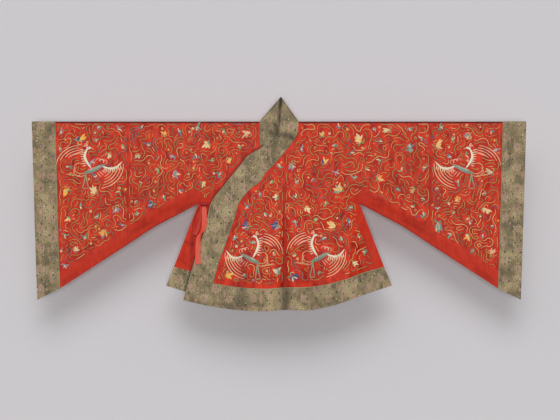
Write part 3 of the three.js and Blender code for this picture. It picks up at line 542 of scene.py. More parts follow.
cross = CROSS_ROW * FINE
neck_rows = 30
down_rows = ARM_ROWS + SIDE_ROWS - neck_rows
upper_seam = along_line(np.vstack([FOLD_SEAM[-1:], over_rows[: cross + 1, :2]]), neck_rows)
centre_low = hem_line([CENTRE_FRONT_X], False)[0]
centre_front = even(over_rows[cross, :2], centre_low, down_rows)
inner_left = np.vstack([FOLD_SEAM, upper_seam[1:], centre_front[1:]])
left_patches = [
    front_half("over", inner_left, CENTRE_FRONT_X), sleeve_root("over"),
    *back_half(), sleeve_root("back"),
]
sew("body_left_satin", SATIN, "body_wearers_left", left_patches)

# ---------------------------------------------------------------------------------------------
# Wearer's right half, which lies under the other front and is seen beside the ties: the same
# width of satin, turned over. Its centre seam is at x = 0.

COLLAR_UNDER = [
    (-80, 20, 6, -45), (-80, 45, 2, 5), (-80, 80, 6, 38), (-74, 108, 22, 75), (-58, 140, 38, 104),
    (-30, 180, 62, 142), (0, 225, 92, 185), (24, 275, 118, 240), (48, 345, 144, 318),
    (72, 430, 170, 408), (94, 520, 192, 500), (116, 620, 214, 602), (128, 688, 226, 674),
    (140, 772, 238, 760),
]
LAP_ROW, LAP_BAND_ROW, LAP_ROWS = 6, 12, 64  # where the lap starts and meets its band, and its steps
MIRROR = np.array([-1, 1])
under_rows = through(COLLAR_UNDER, 8)
lap = LAP_ROW * 8
under_seam = under_rows[: lap + 1, :2] * MIRROR
seam_down = along_line(np.vstack([FOLD_SEAM[-1:], under_seam]), ARM_ROWS + SIDE_ROWS - LAP_ROWS)
centre_seam = even(under_rows[lap, :2], hem_line([0], False)[0], LAP_ROWS)
inner_right = np.vstack([FOLD_SEAM, seam_down[1:], centre_seam[1:]])
right_patches = mirrored([
    front_half("under", inner_right, 0), sleeve_root("under"), *back_half(), sleeve_root("back"),
])
sew("body_right_satin", SATIN, "body_wearers_right", right_patches)

# ---------------------------------------------------------------------------------------------
# Front overlap: a wedge of the same satin, sewn to the left half at the centre front and to the
# collar on its other side. The hidden lap behind it is a narrower wedge, sewn to the right half.

OVERLAP_ACROSS, LAP_ACROSS = 47, 21
overlap_seam = along_line(over_rows[cross : BAND_ROW * FINE + 1, :2], down_rows)
overlap_low = hem_line(np.linspace(overlap_seam[-1, 0], CENTRE_FRONT_X, OVERLAP_ACROSS), False)
overlap_point = np.tile(overlap_seam[:1], (OVERLAP_ACROSS, 1))
overlap_patches = [patch("over", overlap_point, overlap_low, overlap_seam, centre_front)]
sew("overlap_satin", SATIN, "overlap_outer", overlap_patches)

lap_seam = along_line(under_rows[lap : LAP_BAND_ROW * 8 + 1, :2], LAP_ROWS)
lap_low = hem_line(np.linspace(0, lap_seam[-1, 0], LAP_ACROSS), False)
lap_low[-1] = lap_seam[-1]
lap_point = np.tile(lap_seam[:1], (LAP_ACROSS, 1))
lap_patches = [patch("under", lap_point, lap_low, centre_seam, lap_seam)]
sew("under_lap_satin", SATIN, "overlap_inner", lap_patches)

# ---------------------------------------------------------------------------------------------
# Sleeve ends: a width of satin each side, folded over the rod and closed along the slanting
# underarm seam. They widen from the wearer's wrist line into the hanging point.

CUFF_SEAM = sleeve_line(CUFF_SEAM_X, CUFF_SEAM_LOW)


def sleeve_pair(kind, cloth, inner, outer, across):
    """The same stretch of both sleeves, between two lines that run down them."""
    top, low = even(inner[0], outer[0], across), even(inner[-1], outer[-1], across)
    for hand, front in (("left", "over"), ("right", "under")):
        cut = [patch(layer, top, low, inner, outer) for layer in (front, "back")]
        cut = cut if hand == "left" else mirrored(cut)
        sew(f"{kind}_{hand}_{cloth[1]}", cloth, f"{kind}_wearers_{hand}", cut)


sleeve_pair("sleeve", SATIN, SLEEVE_SEAM, CUFF_SEAM, 46)

# ---------------------------------------------------------------------------------------------
# Cuffs: straight strips of olive-gold brocade, proud of the satin, folded over the rod's ends.

BAND_OUT = 1.6
BAND_ACROSS = 16

# Figured silk brocade, nearly matte: an olive-gold ground with rows of cloud scallops in dull
# purple, pink-tan medallions, dark flecks and pale bits. Each figure is drawn a little larger
# than woven ones, so that it still reads from across a room.
brocade, tree, shader = finish("silk_brocade_olive")
uv = add(tree, "ShaderNodeUVMap", uv_map="UVMap").outputs["UV"]
bend_noise = add(tree, "ShaderNodeTexNoise", {"Vector": uv, "Scale": 28.0, "Detail": 1.5})
bend_off = add(tree, "ShaderNodeVectorMath", {0: bend_noise.outputs["Color"], 1: (-0.5, -0.5, -0.5)},
               operation="ADD")
drawn = add(tree, "ShaderNodeVectorMath", {0: bend_off, 1: (0.022, 0.022, 0.0), 2: uv},
            operation="MULTIPLY_ADD")


def lattice(tree, vector, wide, high):
    """The place inside a cell of a staggered grid, in metres from the cell's middle."""
    split = add(tree, "ShaderNodeSeparateXYZ", {0: vector})
    row = add(tree, "ShaderNodeMath", {0: split.outputs[1], 1: high}, operation="DIVIDE")
    number = add(tree, "ShaderNodeMath", {0: row}, operation="FLOOR")
    odd = add(tree, "ShaderNodeMath", {0: number, 1: 2.0}, operation="FLOORED_MODULO")
    shifted = add(tree, "ShaderNodeMath", {0: odd, 1: wide / 2, 2: split.outputs[0]},
                  operation="MULTIPLY_ADD")
    x = add(tree, "ShaderNodeMath", {0: shifted, 1: -wide / 2, 2: wide / 2}, operation="WRAP")
    within = add(tree, "ShaderNodeMath", {0: row}, operation="FRACT")
    y = add(tree, "ShaderNodeMath", {0: within, 1: high, 2: -high / 2}, operation="MULTIPLY_ADD")
    return x, y


ground_noise = add(tree, "ShaderNodeTexNoise", {"Vector": uv, "Scale": 15.0, "Detail": 4.0})
ground = add(tree, "ShaderNodeValToRGB", {0: ground_noise})
ramp = ground.color_ramp
ramp.elements[0].position, ramp.elements[0].color = 0.36, linear("#6c6343")
ramp.elements[1].position, ramp.elements[1].color = 0.64, linear("#b4a377")
ramp.elements.new(0.5).color = linear("#8f815a")
# cloud scallops: rings 7 mm apart around the foot of each 38 by 20 mm cell
x, y = lattice(tree, drawn, 0.038, 0.020)
low_y = add(tree, "ShaderNodeMath", {0: y, 1: 0.010}, operation="ADD")
xx = add(tree, "ShaderNodeMath", {0: x, 1: x}, operation="MULTIPLY")
rr = add(tree, "ShaderNodeMath", {0: low_y, 1: low_y, 2: xx}, operation="MULTIPLY_ADD")
reach = add(tree, "ShaderNodeMath", {0: rr}, operation="SQRT")
ring = add(tree, "ShaderNodeMath", {0: reach, 1: 1 / 0.007}, operation="MULTIPLY")
ring = add(tree, "ShaderNodeMath", {0: ring}, operation="FRACT")
scallop = add(tree, "ShaderNodeMapRange", {0: ring, 1: 0.5, 2: 0.64, 3: 0.0, 4: 0.62})
clouded = add(tree, "ShaderNodeMix", {0: scallop, 6: ground, 7: linear("#685250")}, **RGBA)
# medallions: 46 mm flower heads on a 104 by 84 mm grid, with a pale ring and a dark eye
x, y = lattice(tree, drawn, 0.104, 0.042)
yy = add(tree, "ShaderNodeMath", {0: y, 1: y}, operation="MULTIPLY")
rr = add(tree, "ShaderNodeMath", {0: x, 1: x, 2: yy}, operation="MULTIPLY_ADD")
reach = add(tree, "ShaderNodeMath", {0: rr}, operation="SQRT")
angle = add(tree, "ShaderNodeMath", {0: y, 1: x}, operation="ARCTAN2")
six = add(tree, "ShaderNodeMath", {0: angle, 1: 6.0}, operation="MULTIPLY")
wave = add(tree, "ShaderNodeMath", {0: six}, operation="COSINE")
lobed = add(tree, "ShaderNodeMath", {0: wave, 1: 0.0022, 2: reach}, operation="MULTIPLY_ADD")
worn_off = add(tree, "ShaderNodeTexNoise", {"Vector": uv, "Scale": 17.0, "Detail": 1.0})
kept = add(tree, "ShaderNodeMapRange", {0: worn_off, 1: 0.42, 2: 0.54, 3: 0.1, 4: 0.75})
flower = add(tree, "ShaderNodeMapRange", {0: lobed, 1: 0.0155, 2: 0.018, 3: 1.0, 4: 0.0})
flower = add(tree, "ShaderNodeMath", {0: flower, 1: kept}, operation="MULTIPLY")
bloomed = add(tree, "ShaderNodeMix", {0: flower, 6: clouded, 7: linear("#b39478")}, **RGBA)
pale = add(tree, "ShaderNodeMath", {0: lobed, 1: 0.0105, 2: 0.0014}, operation="COMPARE")
ringed = add(tree, "ShaderNodeMath", {0: pale, 1: kept}, operation="MULTIPLY")
bloomed = add(tree, "ShaderNodeMix", {0: ringed, 6: bloomed, 7: linear("#7c5f5c")}, **RGBA)
eye = add(tree, "ShaderNodeMapRange", {0: lobed, 1: 0.003, 2: 0.005, 3: 0.6, 4: 0.0})
bloomed = add(tree, "ShaderNodeMix", {0: eye, 6: bloomed, 7: linear("#44505c")}, **RGBA)
# dark flecks: 4 by 9 mm ticks in staggered rows, left out here and there
x, y = lattice(tree, drawn, 0.034, 0.024)
tick_x = add(tree, "ShaderNodeMath", {0: x, 1: 0.0, 2: 0.0022}, operation="COMPARE")
tick_y = add(tree, "ShaderNodeMath", {0: y, 1: 0.0, 2: 0.0046}, operation="COMPARE")
tick = add(tree, "ShaderNodeMath", {0: tick_x, 1: tick_y}, operation="MULTIPLY")
gaps = add(tree, "ShaderNodeTexNoise", {"Vector": uv, "Scale": 31.0, "Detail": 0.0})
shown = add(tree, "ShaderNodeMapRange", {0: gaps, 1: 0.38, 2: 0.5, 3: 0.0, 4: 0.9})
tick = add(tree, "ShaderNodeMath", {0: tick, 1: shown}, operation="MULTIPLY")
flecked = add(tree, "ShaderNodeMix", {0: tick, 6: bloomed, 7: linear("#3f3a34")}, **RGBA)
# pinkish-tan streaks along the band, where another weft shows
long = add(tree, "ShaderNodeMapping", {"Vector": uv, "Scale": (74.0, 20.0, 1.0)})
weft = add(tree, "ShaderNodeTexNoise", {"Vector": long, "Scale": 1.0, "Detail": 1.0})
weft = add(tree, "ShaderNodeMapRange", {0: weft, 1: 0.58, 2: 0.66, 3: 0.0, 4: 0.55})
flecked = add(tree, "ShaderNodeMix", {0: weft, 6: flecked, 7: linear("#b48f76")}, **RGBA)
# dark dots, and small green and cream bits between them
dots = add(tree, "ShaderNodeTexVoronoi", {"Vector": uv, "Scale": 105.0})
close = add(tree, "ShaderNodeMapRange", {0: dots.outputs["Distance"], 1: 0.2, 2: 0.32, 3: 0.85, 4: 0.0})
pick = add(tree, "ShaderNodeSeparateXYZ", {0: dots.outputs["Color"]})
some = add(tree, "ShaderNodeMath", {0: pick.outputs[0], 1: 0.76}, operation="GREATER_THAN")
dot = add(tree, "ShaderNodeMath", {0: close, 1: some}, operation="MULTIPLY")
flecked = add(tree, "ShaderNodeMix", {0: dot, 6: flecked, 7: linear("#33343c")}, **RGBA)
bits = add(tree, "ShaderNodeTexVoronoi", {"Vector": uv, "Scale": 75.0})
bit_core = add(tree, "ShaderNodeMapRange", {0: bits.outputs["Distance"], 1: 0.18, 2: 0.3, 3: 0.75, 4: 0.0})
pick = add(tree, "ShaderNodeSeparateXYZ", {0: bits.outputs["Color"]})
some = add(tree, "ShaderNodeMath", {0: pick.outputs[0], 1: 0.66}, operation="GREATER_THAN")
bit = add(tree, "ShaderNodeMath", {0: bit_core, 1: some}, operation="MULTIPLY")
hue = add(tree, "ShaderNodeMix", {0: pick.outputs[1], 6: linear("#6c8a66"), 7: linear("#cbbd94")}, **RGBA)
figured = add(tree, "ShaderNodeMix", {0: bit, 6: flecked, 7: hue}, **RGBA)
ribs = add(tree, "ShaderNodeTexNoise", {"Vector": uv, "Scale": 330.0, "Detail": 1.0})
bump = add(tree, "ShaderNodeBump", {"Strength": 0.4, "Distance": 0.0006, "Height": ribs})
# painted shade in the folds, at the neck and beside the crossing edge, painted highlight on ridges
feed(tree, shader, {
    "Base Color": shade_folds(tree, figured, "#2f2a20", "#b3a57e"), "Normal": bump,
    "Roughness": 0.72, "Specular IOR Level": 0.25, "Sheen Weight": 0.1,
})

BROCADE = (brocade, "brocade", BAND_OUT)
CUFF_EDGE = sleeve_line(CUFF_EDGE_X, CUFF_EDGE_LOW)
sleeve_pair("cuff", BROCADE, CUFF_SEAM, CUFF_EDGE, BAND_ACROSS)

# ---------------------------------------------------------------------------------------------
# Collar bands: two straight lengths of brocade, joined at the centre back, where they stand up
# to a folded peak. The left one crosses over the right one and runs down to the hem.


def collar(layer, rows, sign):
    fine, turned = through(rows, FINE), np.array([sign, 1])
    first_free = np.array(rows[0][2:], float)
    peak = np.array(PEAK, float)
    share = 0.6 * (np.linspace(0, 4, 9) / 5) ** 2
    seam = np.vstack([FOLD_SEAM * turned, fine[:, :2]])
    free = np.vstack([peak + share[:, None] * (first_free - peak), fine[:, 2:]])
    neck = (sign * NECK_X, 0)
    behind = np.vstack([FOLD_SEAM, through(BACK_NECK[::-1], FINE)[1:]]) * turned
    top, peaks = even(neck, PEAK, BAND_ACROSS), np.tile(peak, (len(behind), 1))
    return [
        patch(layer, top, even(seam[-1], free[-1], BAND_ACROSS), seam, free),
        patch("back", top, even(behind[-1], PEAK, BAND_ACROSS), behind, peaks),
    ]


for hand, layer, rows, sign, size in (
    ("left", "over", COLLAR_OVER, 1, (0.12, 1.30)), ("right", "under", COLLAR_UNDER, -1, (0.12, 1.17)),
):
    sew(f"collar_{layer}_brocade", BROCADE, f"collar_wearers_{hand}", collar(layer, rows, sign))

# ---------------------------------------------------------------------------------------------
# Hem bands: curved strips of the same brocade along the outer front, the under front and the back.


HEM_ROWS = 14


def hem_band(name, node, layer, edges):
    """A band between its seam and its free edge, each a line from side to side."""
    seam, free = edges
    ends = [even(seam[k], free[k], HEM_ROWS) for k in (0, -1)]
    sew(name, BROCADE, node, [patch(layer, seam, free, *ends)])


def both_ways(xs, middle):
    """The seam and the hem at places on both sides of the centre."""
    hands = np.column_stack([np.where(xs < 0, -1, middle(xs)), np.ones(len(xs))])
    return [hem_line(np.abs(xs), low) * hands for low in (False, True)]


xs = np.linspace(overlap_seam[-1, 0], SIDE_BAND[0], 112)
hem_band("hem_front_outer_brocade", "hem_band_front_outer", "over",
         [hem_line(xs, low) for low in (False, True)])
xs = np.linspace(-SIDE_BAND[0], SIDE_BAND[0], 134)
hem_band("hem_back_brocade", "hem_band_back", "back", both_ways(xs, np.sign))
xs = np.concatenate([np.linspace(-SIDE_BAND[0], 0, 68), np.linspace(0, lap_seam[-1, 0], LAP_ACROSS)[1:]])
inner_edges = both_ways(xs, np.ones_like)
inner_edges[0][-1], inner_edges[1][-1] = lap_seam[-1], under_rows[-1, :2]
hem_band("hem_front_inner_brocade", "hem_band_front_inner", "under", inner_edges)

# ---------------------------------------------------------------------------------------------
# Embroidery on the satin: silk floss couched in scrolling tendrils, with blossoms, leaves and
# birds in round frames, four on each side. Each line of floss is a low ridge that follows the cloth. A
# plain strip is left along the hem, the sides and the underarm seams.

FLOSS_HIGH = 0.8
VINE_COLOURS = (["#b2a860"] * 5 + ["#dab468"] * 5 + ["#d89254"] * 3 + ["#7f9060"] * 4 + ["#eed088"] * 3
                + ["#7c8c88"])
SHADOW_THREAD_COLOURS = ["#840f07", "#94180a", "#74280e"]  # a darker thread beside each pale one, laid as its painted shadow on the satin
BLOOM_COLOURS = ["#e9b040", "#ecd6a4", "#2f4674", "#6c8c8c", "#e8a04a", "#8e8690", "#e6c48c", "#dca680",
                 "#d8c498", "#eab868"]
LEAF_COLOURS = ["#5f8f5a", "#4f8f7a", "#7f9a5c"]

silk_floss, tree, shader = finish("silk_floss_stitched")
dyed = add(tree, "ShaderNodeAttribute", attribute_name="floss").outputs["Color"]
# satin stitch drawn 1.5 mm apart, about four threads to a ridge, so that it shows close to
run = add(tree, "ShaderNodeUVMap", uv_map="UVMap").outputs["UV"]
stitch = add(tree, "ShaderNodeTexWave", {"Vector": run, "Scale": 210.0, "Distortion": 1.5, "Detail": 1.0},
             bands_direction="X")
# painted shade in the grooves between the stitches
dark = add(tree, "ShaderNodeMapRange", {0: stitch, 1: 0.0, 2: 0.5, 3: 0.18, 4: 0.0})
shade = add(tree, "ShaderNodeMix", {0: dark, 6: dyed, 7: linear("#7a4a34")}, **RGBA)
bump = add(tree, "ShaderNodeBump", {"Strength": 0.4, "Distance": 0.0004, "Height": stitch})
# painted shade where the floss lies in a fold of the cloth, painted highlight on ridges
feed(tree, shader, {
    "Base Color": shade_folds(tree, shade, "#4c1c12", "#f4e2c0"), "Normal": bump,
    "Roughness": 0.5, "Specular IOR Level": 0.35, "Sheen Weight": 0.15,
})


def tendril(start, heading, length, turn, steps=11):
    """A line that winds up as it goes."""
    angles = heading + turn * ((np.arange(steps) + 0.5) / steps) ** 1.35
    moves = np.column_stack([np.cos(angles), np.sin(angles)]) * (length / steps)
    return np.vstack([start, start + np.cumsum(moves, axis=0)])


def floss(line, width, colour, shape="line"):
    """One stroke: its line, its half-width along it, and its colour."""
    t = np.linspace(0, 1, len(line))
    if shape == "petal":
        half = width / 2 * (0.12 + 0.88 * np.sin(np.pi * t**0.8) ** 0.7)
    else:
        half = width / 2 * (0.55 + 0.45 * np.sin(np.pi * (0.12 + 0.76 * t)))
    return np.asarray(line, float), half, colour


def shifted(line, off):
    """A line on the flat cloth moved sideways."""
    way = np.gradient(line, axis=0)
    way /= np.maximum(np.linalg.norm(way, axis=1, keepdims=True), 1e-6)
    return line + np.column_stack([-way[:, 1], way[:, 0]]) * off


def petal(root, heading, length, width, colour, steps=5):
    way = np.array([math.cos(heading), math.sin(heading)])
    return floss(root + np.linspace(0, length, steps)[:, None] * way, width, colour, "petal")


def bloom(rng, middle):
    """A flower seen from the side: a loose fan of petals in two colours, with a leaf or two."""
    heading, size = rng.uniform(0, 2 * math.pi), rng.uniform(26, 46)
    colours = rng.sample(BLOOM_COLOURS, 2)
    way = np.array([math.cos(heading), math.sin(heading)])
    strokes = []
    for k in range(rng.randint(6, 9)):
        root = middle + way * rng.uniform(-0.3, 0.1) * size
        strokes.append(petal(root, heading + rng.gauss(0, 0.6), size * rng.uniform(0.4, 0.8),
                             size * rng.uniform(0.16, 0.28), colours[k % 4 == 3]))
    strokes.append(petal(middle, heading + rng.gauss(0, 0.3), size * 0.4, size * 0.09, "#f0dfba", 4))
    for hand in (-1, 1):
        if rng.random() < 0.7:
            strokes.append(petal(middle - way * size * 0.2, heading + hand * rng.uniform(1.8, 2.6),
                                 size * rng.uniform(0.3, 0.55), size * 0.12, rng.choice(LEAF_COLOURS), 5))
        curl = tendril(middle - way * size * 0.15, heading + hand * 2.4, size * 0.7, -hand * 3.6, 8)
        strokes.append(floss(curl, 2.6, rng.choice(VINE_COLOURS)))
    return strokes


CELL = 3.5  # side of a cell on the map of open ground


def inside(polygon, x, d):
    hit = np.zeros(np.shape(x), bool)
    for (ax, ad), (bx, bd) in zip(polygon, polygon[1:] + polygon[:1]):
        if ad != bd:
            hit ^= ((ad > d) != (bd > d)) & (x < ax + (d - ad) / (bd - ad) * (bx - ax))
    return hit


def open_ground(outline, margin):
    """A map of a panel, true where stitches may go, and the place of its corner."""
    corner = np.min(outline, axis=0) - CELL
    count = np.ceil((np.max(outline, axis=0) - corner) / CELL).astype(int) + 2
    x, d = np.meshgrid(*(corner[k] + CELL * (np.arange(count[k]) + 0.5) for k in (0, 1)), indexing="ij")
    edge = [np.array(p, float) for p in outline + outline[:1]]
    return inside(outline, x, d) & (gap_to_line(x, d, edge) > margin), corner


def spot(rng, ground, corner):
    """The middle of an open cell picked at random, or None where hardly any is left."""
    for _ in range(400):
        i, j = rng.randrange(ground.shape[0]), rng.randrange(ground.shape[1])
        if ground[i, j]:
            return corner + CELL * np.array([i + 0.5, j + 0.5])
    return None


def cells_of(ground, corner, line):
    cells = np.floor((line - corner) / CELL).astype(int)
    return np.clip(cells, 0, np.array(ground.shape) - 1)


def is_open(ground, corner, line):
    cells = cells_of(ground, corner, line)
    return bool(ground[cells[:, 0], cells[:, 1]].all())


def take(ground, corner, line, reach):
    """Closes the ground within reach of a line."""
    count = int(reach / CELL)
    for i in range(-count, count + 1):
        for j in range(-count, count + 1):
            if math.hypot(i, j) * CELL <= reach:
                cells = cells_of(ground, corner, line + CELL * np.array([i, j]))
                ground[cells[:, 0], cells[:, 1]] = False


def vine(rng, ground, corner, start):
    """A stem that wanders over open ground and curls off to both sides, or nothing if cramped."""
    heading, line = rng.uniform(0, 2 * math.pi), [np.array(start, float)]
    bend, left = rng.choice((-1, 1)) / rng.uniform(14, 30), rng.uniform(26, 60)
    for _ in range(rng.randint(12, 38)):
        for swerve in (0, 0.35, -0.35, 0.8, -0.8):
            angle = heading + bend * CELL + swerve
            way = np.array([math.cos(angle), math.sin(angle)]) * CELL
            if is_open(ground, corner, line[-1] + way * np.array([[1.0], [2.2]])):
                break
        else:
            break
        heading, left = angle, left - CELL
        line.append(line[-1] + way)
        if left < 0:
            bend, left = -math.copysign(1, bend) / rng.uniform(14, 30), rng.uniform(26, 60)
    if len(line) < 6:
        return []
    line, colour = np.array(line), rng.choice(VINE_COLOURS)
    take(ground, corner, line, 7.5)
    strokes, hand = [floss(line, 2.2, colour)], rng.choice((-1, 1))
    # a dark thread beside the vine and each hook, laid as its painted shadow
    outline = rng.choice(SHADOW_THREAD_COLOURS)
    strokes.append(floss(shifted(line, 2.1), 2.0, outline))
    spots = list(range(2, len(line) - 2, rng.randint(4, 6))) + [len(line) - 2]
    for k in spots:
        step = line[k + 1] - line[k]
        lean = rng.uniform(0.6, 1.2) if k < len(line) - 2 else 0.0
        for length in (rng.uniform(30, 44), 26, 18):
            hook = tendril(line[k + 1], math.atan2(step[1], step[0]) - hand * lean, length,
                           hand * rng.uniform(4.6, 6.4), 10)
            if is_open(ground, corner, hook[4:]):
                take(ground, corner, hook, 6.0)
                strokes.append(floss(hook, 2.1, colour if rng.random() < 0.7 else rng.choice(VINE_COLOURS)))
                strokes.append(floss(shifted(hook, -2.0 * hand), 1.8, outline))
                break
        hand = -hand
    return strokes


def squiggle(rng, ground, corner, start):
    """A small forked curl that fills a gap."""
    heading, hand = rng.uniform(0, 2 * math.pi), rng.choice((-1, 1))
    colour, middle = rng.choice(VINE_COLOURS), np.array(start, float)
    strokes = []
    for turned, length, turn in ((0, 24, 4.6), (2.4, 18, -4.0), (-2.1, 11, 1.4)):
        line = tendril(middle, heading + turned, length, hand * turn, 7)
        if is_open(ground, corner, line[2:]):
            strokes.append(floss(line, 2.2, colour))
    for line, _, _ in strokes:
        take(ground, corner, line, 7.5)
    return strokes


def leaves(rng, middle):
    """A small tuft of curling leaves."""
    heading, strokes = rng.uniform(0, 2 * math.pi), []
    colour = rng.choice(("#5f8f7a", "#6f9a86", "#7b9a62", "#88929c", "#4f7f86"))
    for k in range(rng.randint(3, 5)):
        way = heading + (k - 1.5) * rng.uniform(0.5, 0.9)
        strokes.append(floss(tendril(middle, way, rng.uniform(14, 24), rng.choice((-1, 1)) * 1.8, 6),
                             rng.uniform(4, 6), colour if k != 2 else "#e6c9a0", "petal"))
    return strokes


def arc(x, y, radius, start, end, steps=14, squash=1.0):
    t = np.radians(np.linspace(start, end, steps))
    return np.column_stack([x + radius * np.cos(t), y + radius * squash * np.sin(t)])


def bird(hand, x, d, wide, high):
    """A crested bird flying in a ring of its own feathers. Laid out 240 mm wide, x right, y up."""
    cream, white, pink, tan, sage = "#ecc9a0", "#dfe0c8", "#ea917a", "#d39a6a", "#7f9a78"
    s = [
        floss(through([(-18, -26), (12, -15), (40, 0), (64, 10)], 3), 18, "#77897c", "petal"),
        floss(through([(-4, -18), (22, -9), (52, 6)], 3), 8, "#9aa692", "petal"),
        floss(through([(-20, -27), (-6, -22), (8, -20)], 3), 11, "#4f8f68", "petal"),
    ]
    s += [  # feathers on the back
        petal((-2 + 8 * k, -16 + 3.4 * k), math.radians(60 - 8 * k), 11, 4.2,
              (tan, "#c9d0b4", pink)[k % 3], 4) for k in range(7)
    ]
    s.append(floss(through([(10, -6), (-6, 18), (-16, 44), (-10, 68), (-2, 78)], 3), 9.5, white, "petal"))
    s += [  # feathers on the neck
        petal((-8 - 1.1 * k, 8 + 8.5 * k), math.radians(196 - 5 * k), 17 + k, 4.2, cream, 4)
        for k in range(8)
    ]
    s += [  # head, bill and eye
        petal((-10, 78), 0.1, 20, 11, white, 4), petal((8, 79), -0.5, 12, 4.5, tan, 4),
        petal((-5, 81), 0.0, 5.5, 4.5, "#26305c", 4),
    ]
    s += [  # crest
        floss(tendril((-8, 84), rise, 19 - 2 * k, 2.6, 6), 3, pink if k % 2 else cream)
        for k, rise in enumerate((0.9, 1.5, 2.1))
    ]
    s += [  # the wing that sweeps over to the far side
        floss(arc(-30, 0, 96 - 11 * k, 98 - 2 * k, 176 - 15 * k, 13, 0.94), 2.9, cream) for k in range(4)
    ]
    s += [petal((-30 - 9 * k, 58 - 2 * k), math.radians(186 + 9 * k), 20, 4.5, pink, 4) for k in range(5)]
    s.append(floss(through([(50, 4), (76, -6), (104, -2), (130, 24)], 4), 9, white, "petal"))
    s += [  # coverts under the near wing
        petal((60 + 7.6 * k, -4 + 0.32 * (k - 2) ** 2), math.radians(-98 + 3 * k), 21, 4.0, cream, 4)
        for k in range(9)
    ]
    s += [  # its long feathers, round the ring
        floss(arc(34, 8, 99 - 11 * k, 4 - 2 * k, -82 + 5 * k, 14, 0.98), 3.1 - 0.1 * k,
              cream if k % 2 == 0 else "#dfb884") for k in range(5)
    ]
    s += [
        petal((30 + 9 * k, -20 + 4 * k), math.radians(-52 + 6 * k), 30 - 2 * k, 5, pink, 5)
        for k in range(5)
    ]
    s += [  # shoulder plumes
        floss(tendril((26 + 13 * k, 26), 1.2 - 0.3 * k, 34, -3.6, 8), 3.4, pink if k != 1 else cream)
        for k in range(3)
    ]
    for k, far in enumerate((58, 44)):  # two scrolled tail plumes
        root = (-16, -26 - 8 * k)
        s.append(floss(tendril(root, math.radians(196 + 14 * k), far * 1.7, -4.2 + k, 13), 4.2, tan))
        s += [
            floss(tendril((-34 - 14 * j, -31 - 9 * k + 2 * j), math.radians(250 - 130 * k), 15, 2.4, 5),
                  3, tan if j % 2 else "#c8b07a") for j in range(4)
        ]
    for k, x_low in enumerate((-24, -2)):  # tail streamers
        s.append(floss(through([(-12, -24), (-16 + 8 * k, -54), (x_low, -84)], 4), 4.4, sage))
        curl = tendril((x_low, -84), math.radians(-80 - 30 * k), 18, 3.2 - 6 * k, 6)
        s.append(floss(curl, 3.2, sage))
    scale = np.array([hand * wide / 240, -high / 190])
    return [(line * scale + np.array([x, d]), half * high / 190, colour) for line, half, colour in s]


def lay_floss(name, strokes, layer, out=PANEL_OUT):
    """All the strokes on one panel or band as one mesh of closed ridges."""
    starts = np.cumsum([0] + [len(line) for line, _, _ in strokes])
    line = np.vstack([s[0] for s in strokes])
    half = np.concatenate([s[1] for s in strokes])[:, None]
    way = np.vstack([np.gradient(s[0], axis=0) for s in strokes])
    way /= np.maximum(np.linalg.norm(way, axis=1, keepdims=True), 1e-6)
    across = np.column_stack([-way[:, 1], way[:, 0]]) * half
    high = np.maximum(0.5, FLOSS_HIGH - half[:, 0] * 0.03)  # fine stitches lie over broad ones
    flat = np.stack([line + across, line, line - across], axis=1)
    lift = np.stack([np.full(len(line), 0.1), high, np.full(len(line), 0.1)], axis=1) + out
    vertices = on_cloth(flat.reshape(-1, 2), layer, lift.reshape(-1))
    faces, runs = [], np.zeros(len(line))
    for k, (points, _, _) in enumerate(strokes):
        a = 3 * np.arange(starts[k], starts[k + 1])
        runs[starts[k] + 1 : starts[k + 1]] = np.cumsum(np.linalg.norm(np.diff(points, axis=0), axis=1))
        b = a[1:]
        a0 = a[:-1]
        for p, q, r, s in ((a0 + 1, a0, b, b + 1), (a0 + 2, a0 + 1, b + 1, b + 2), (a0, a0 + 2, b + 2, b)):
            faces += [np.column_stack([p, q, r]), np.column_stack([p, r, s])]
        faces.append(np.array([[a[0], a[0] + 1, a[0] + 2], [a[-1] + 2, a[-1] + 1, a[-1]]]))
    faces = np.vstack(faces)
    if layer == "back":
        faces = faces[:, ::-1]
    uv = np.stack([np.repeat(runs, 3), np.tile([0.0, 2.0, 4.0], len(line))], axis=1) * MM
    made = solid(name, vertices, faces, uv[faces])
    # painted shade and highlight under the floss, as on the cloth beneath
    mark(made.data, "painted_shade", np.repeat(painted_shade(line[:, 0], line[:, 1], layer), 3))
    shades = np.vstack([np.tile(linear(c), (3 * len(p), 1)) for p, _, c in strokes])
    mark(made.data, "floss", shades, "FLOAT_COLOR", "color")
    made.data.materials.append(silk_floss)
    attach(made, "root")
    return made


UNDER_SLEEVE = [(625, 438), (520, 370), (352, 278)]
LEFT_FRONT = [(90, 6), (625, 6), *UNDER_SLEEVE, (314, 318), (334, 430), (372, 520), (398, 592), (300, 630),
              (200, 656),
              (22, 670), (24, 142), (40, 122), (60, 97), (76, 72), (88, 44)]
OVERLAP_FRONT = [(18, 154), (18, 670), (-62, 676), (-170, 668), (-258, 654), (-236, 590), (-216, 540),
                 (-198, 486), (-178, 430), (-164, 386), (-148, 344), (-102, 286), (-64, 246), (-34, 208)]
RIGHT_FRONT = [(-89, 6), (-625, 6), *[(-x, d) for x, d in UNDER_SLEEVE], (-304, 322), (-272, 286),
               (-222, 236), (-166, 166), (-138, 134), (-92, 106)]
SLEEVE = [(629, 6), (922, 6), (906, 620), (629, 444)]
HALF_BACK = [(3, 34), (70, 28), (94, 6), (625, 6), *UNDER_SLEEVE, (312, 318), (308, 480), (296, 628),
             (200, 656), (3, 670)]
# hand, x, d, width, height of each bird's ring
SLEEVE_BIRD = (-1, 784, 188, 256, 190)
FRONT_BIRDS = [(1, 150, 552, 226, 196), (-1, -100, 558, 222, 200)]
BACK_BIRDS = [(1, 150, 548, 240, 200), (-1, -150, 548, 240, 200)]


def flip(polygon):
    return [(-x, d) for x, d in polygon]


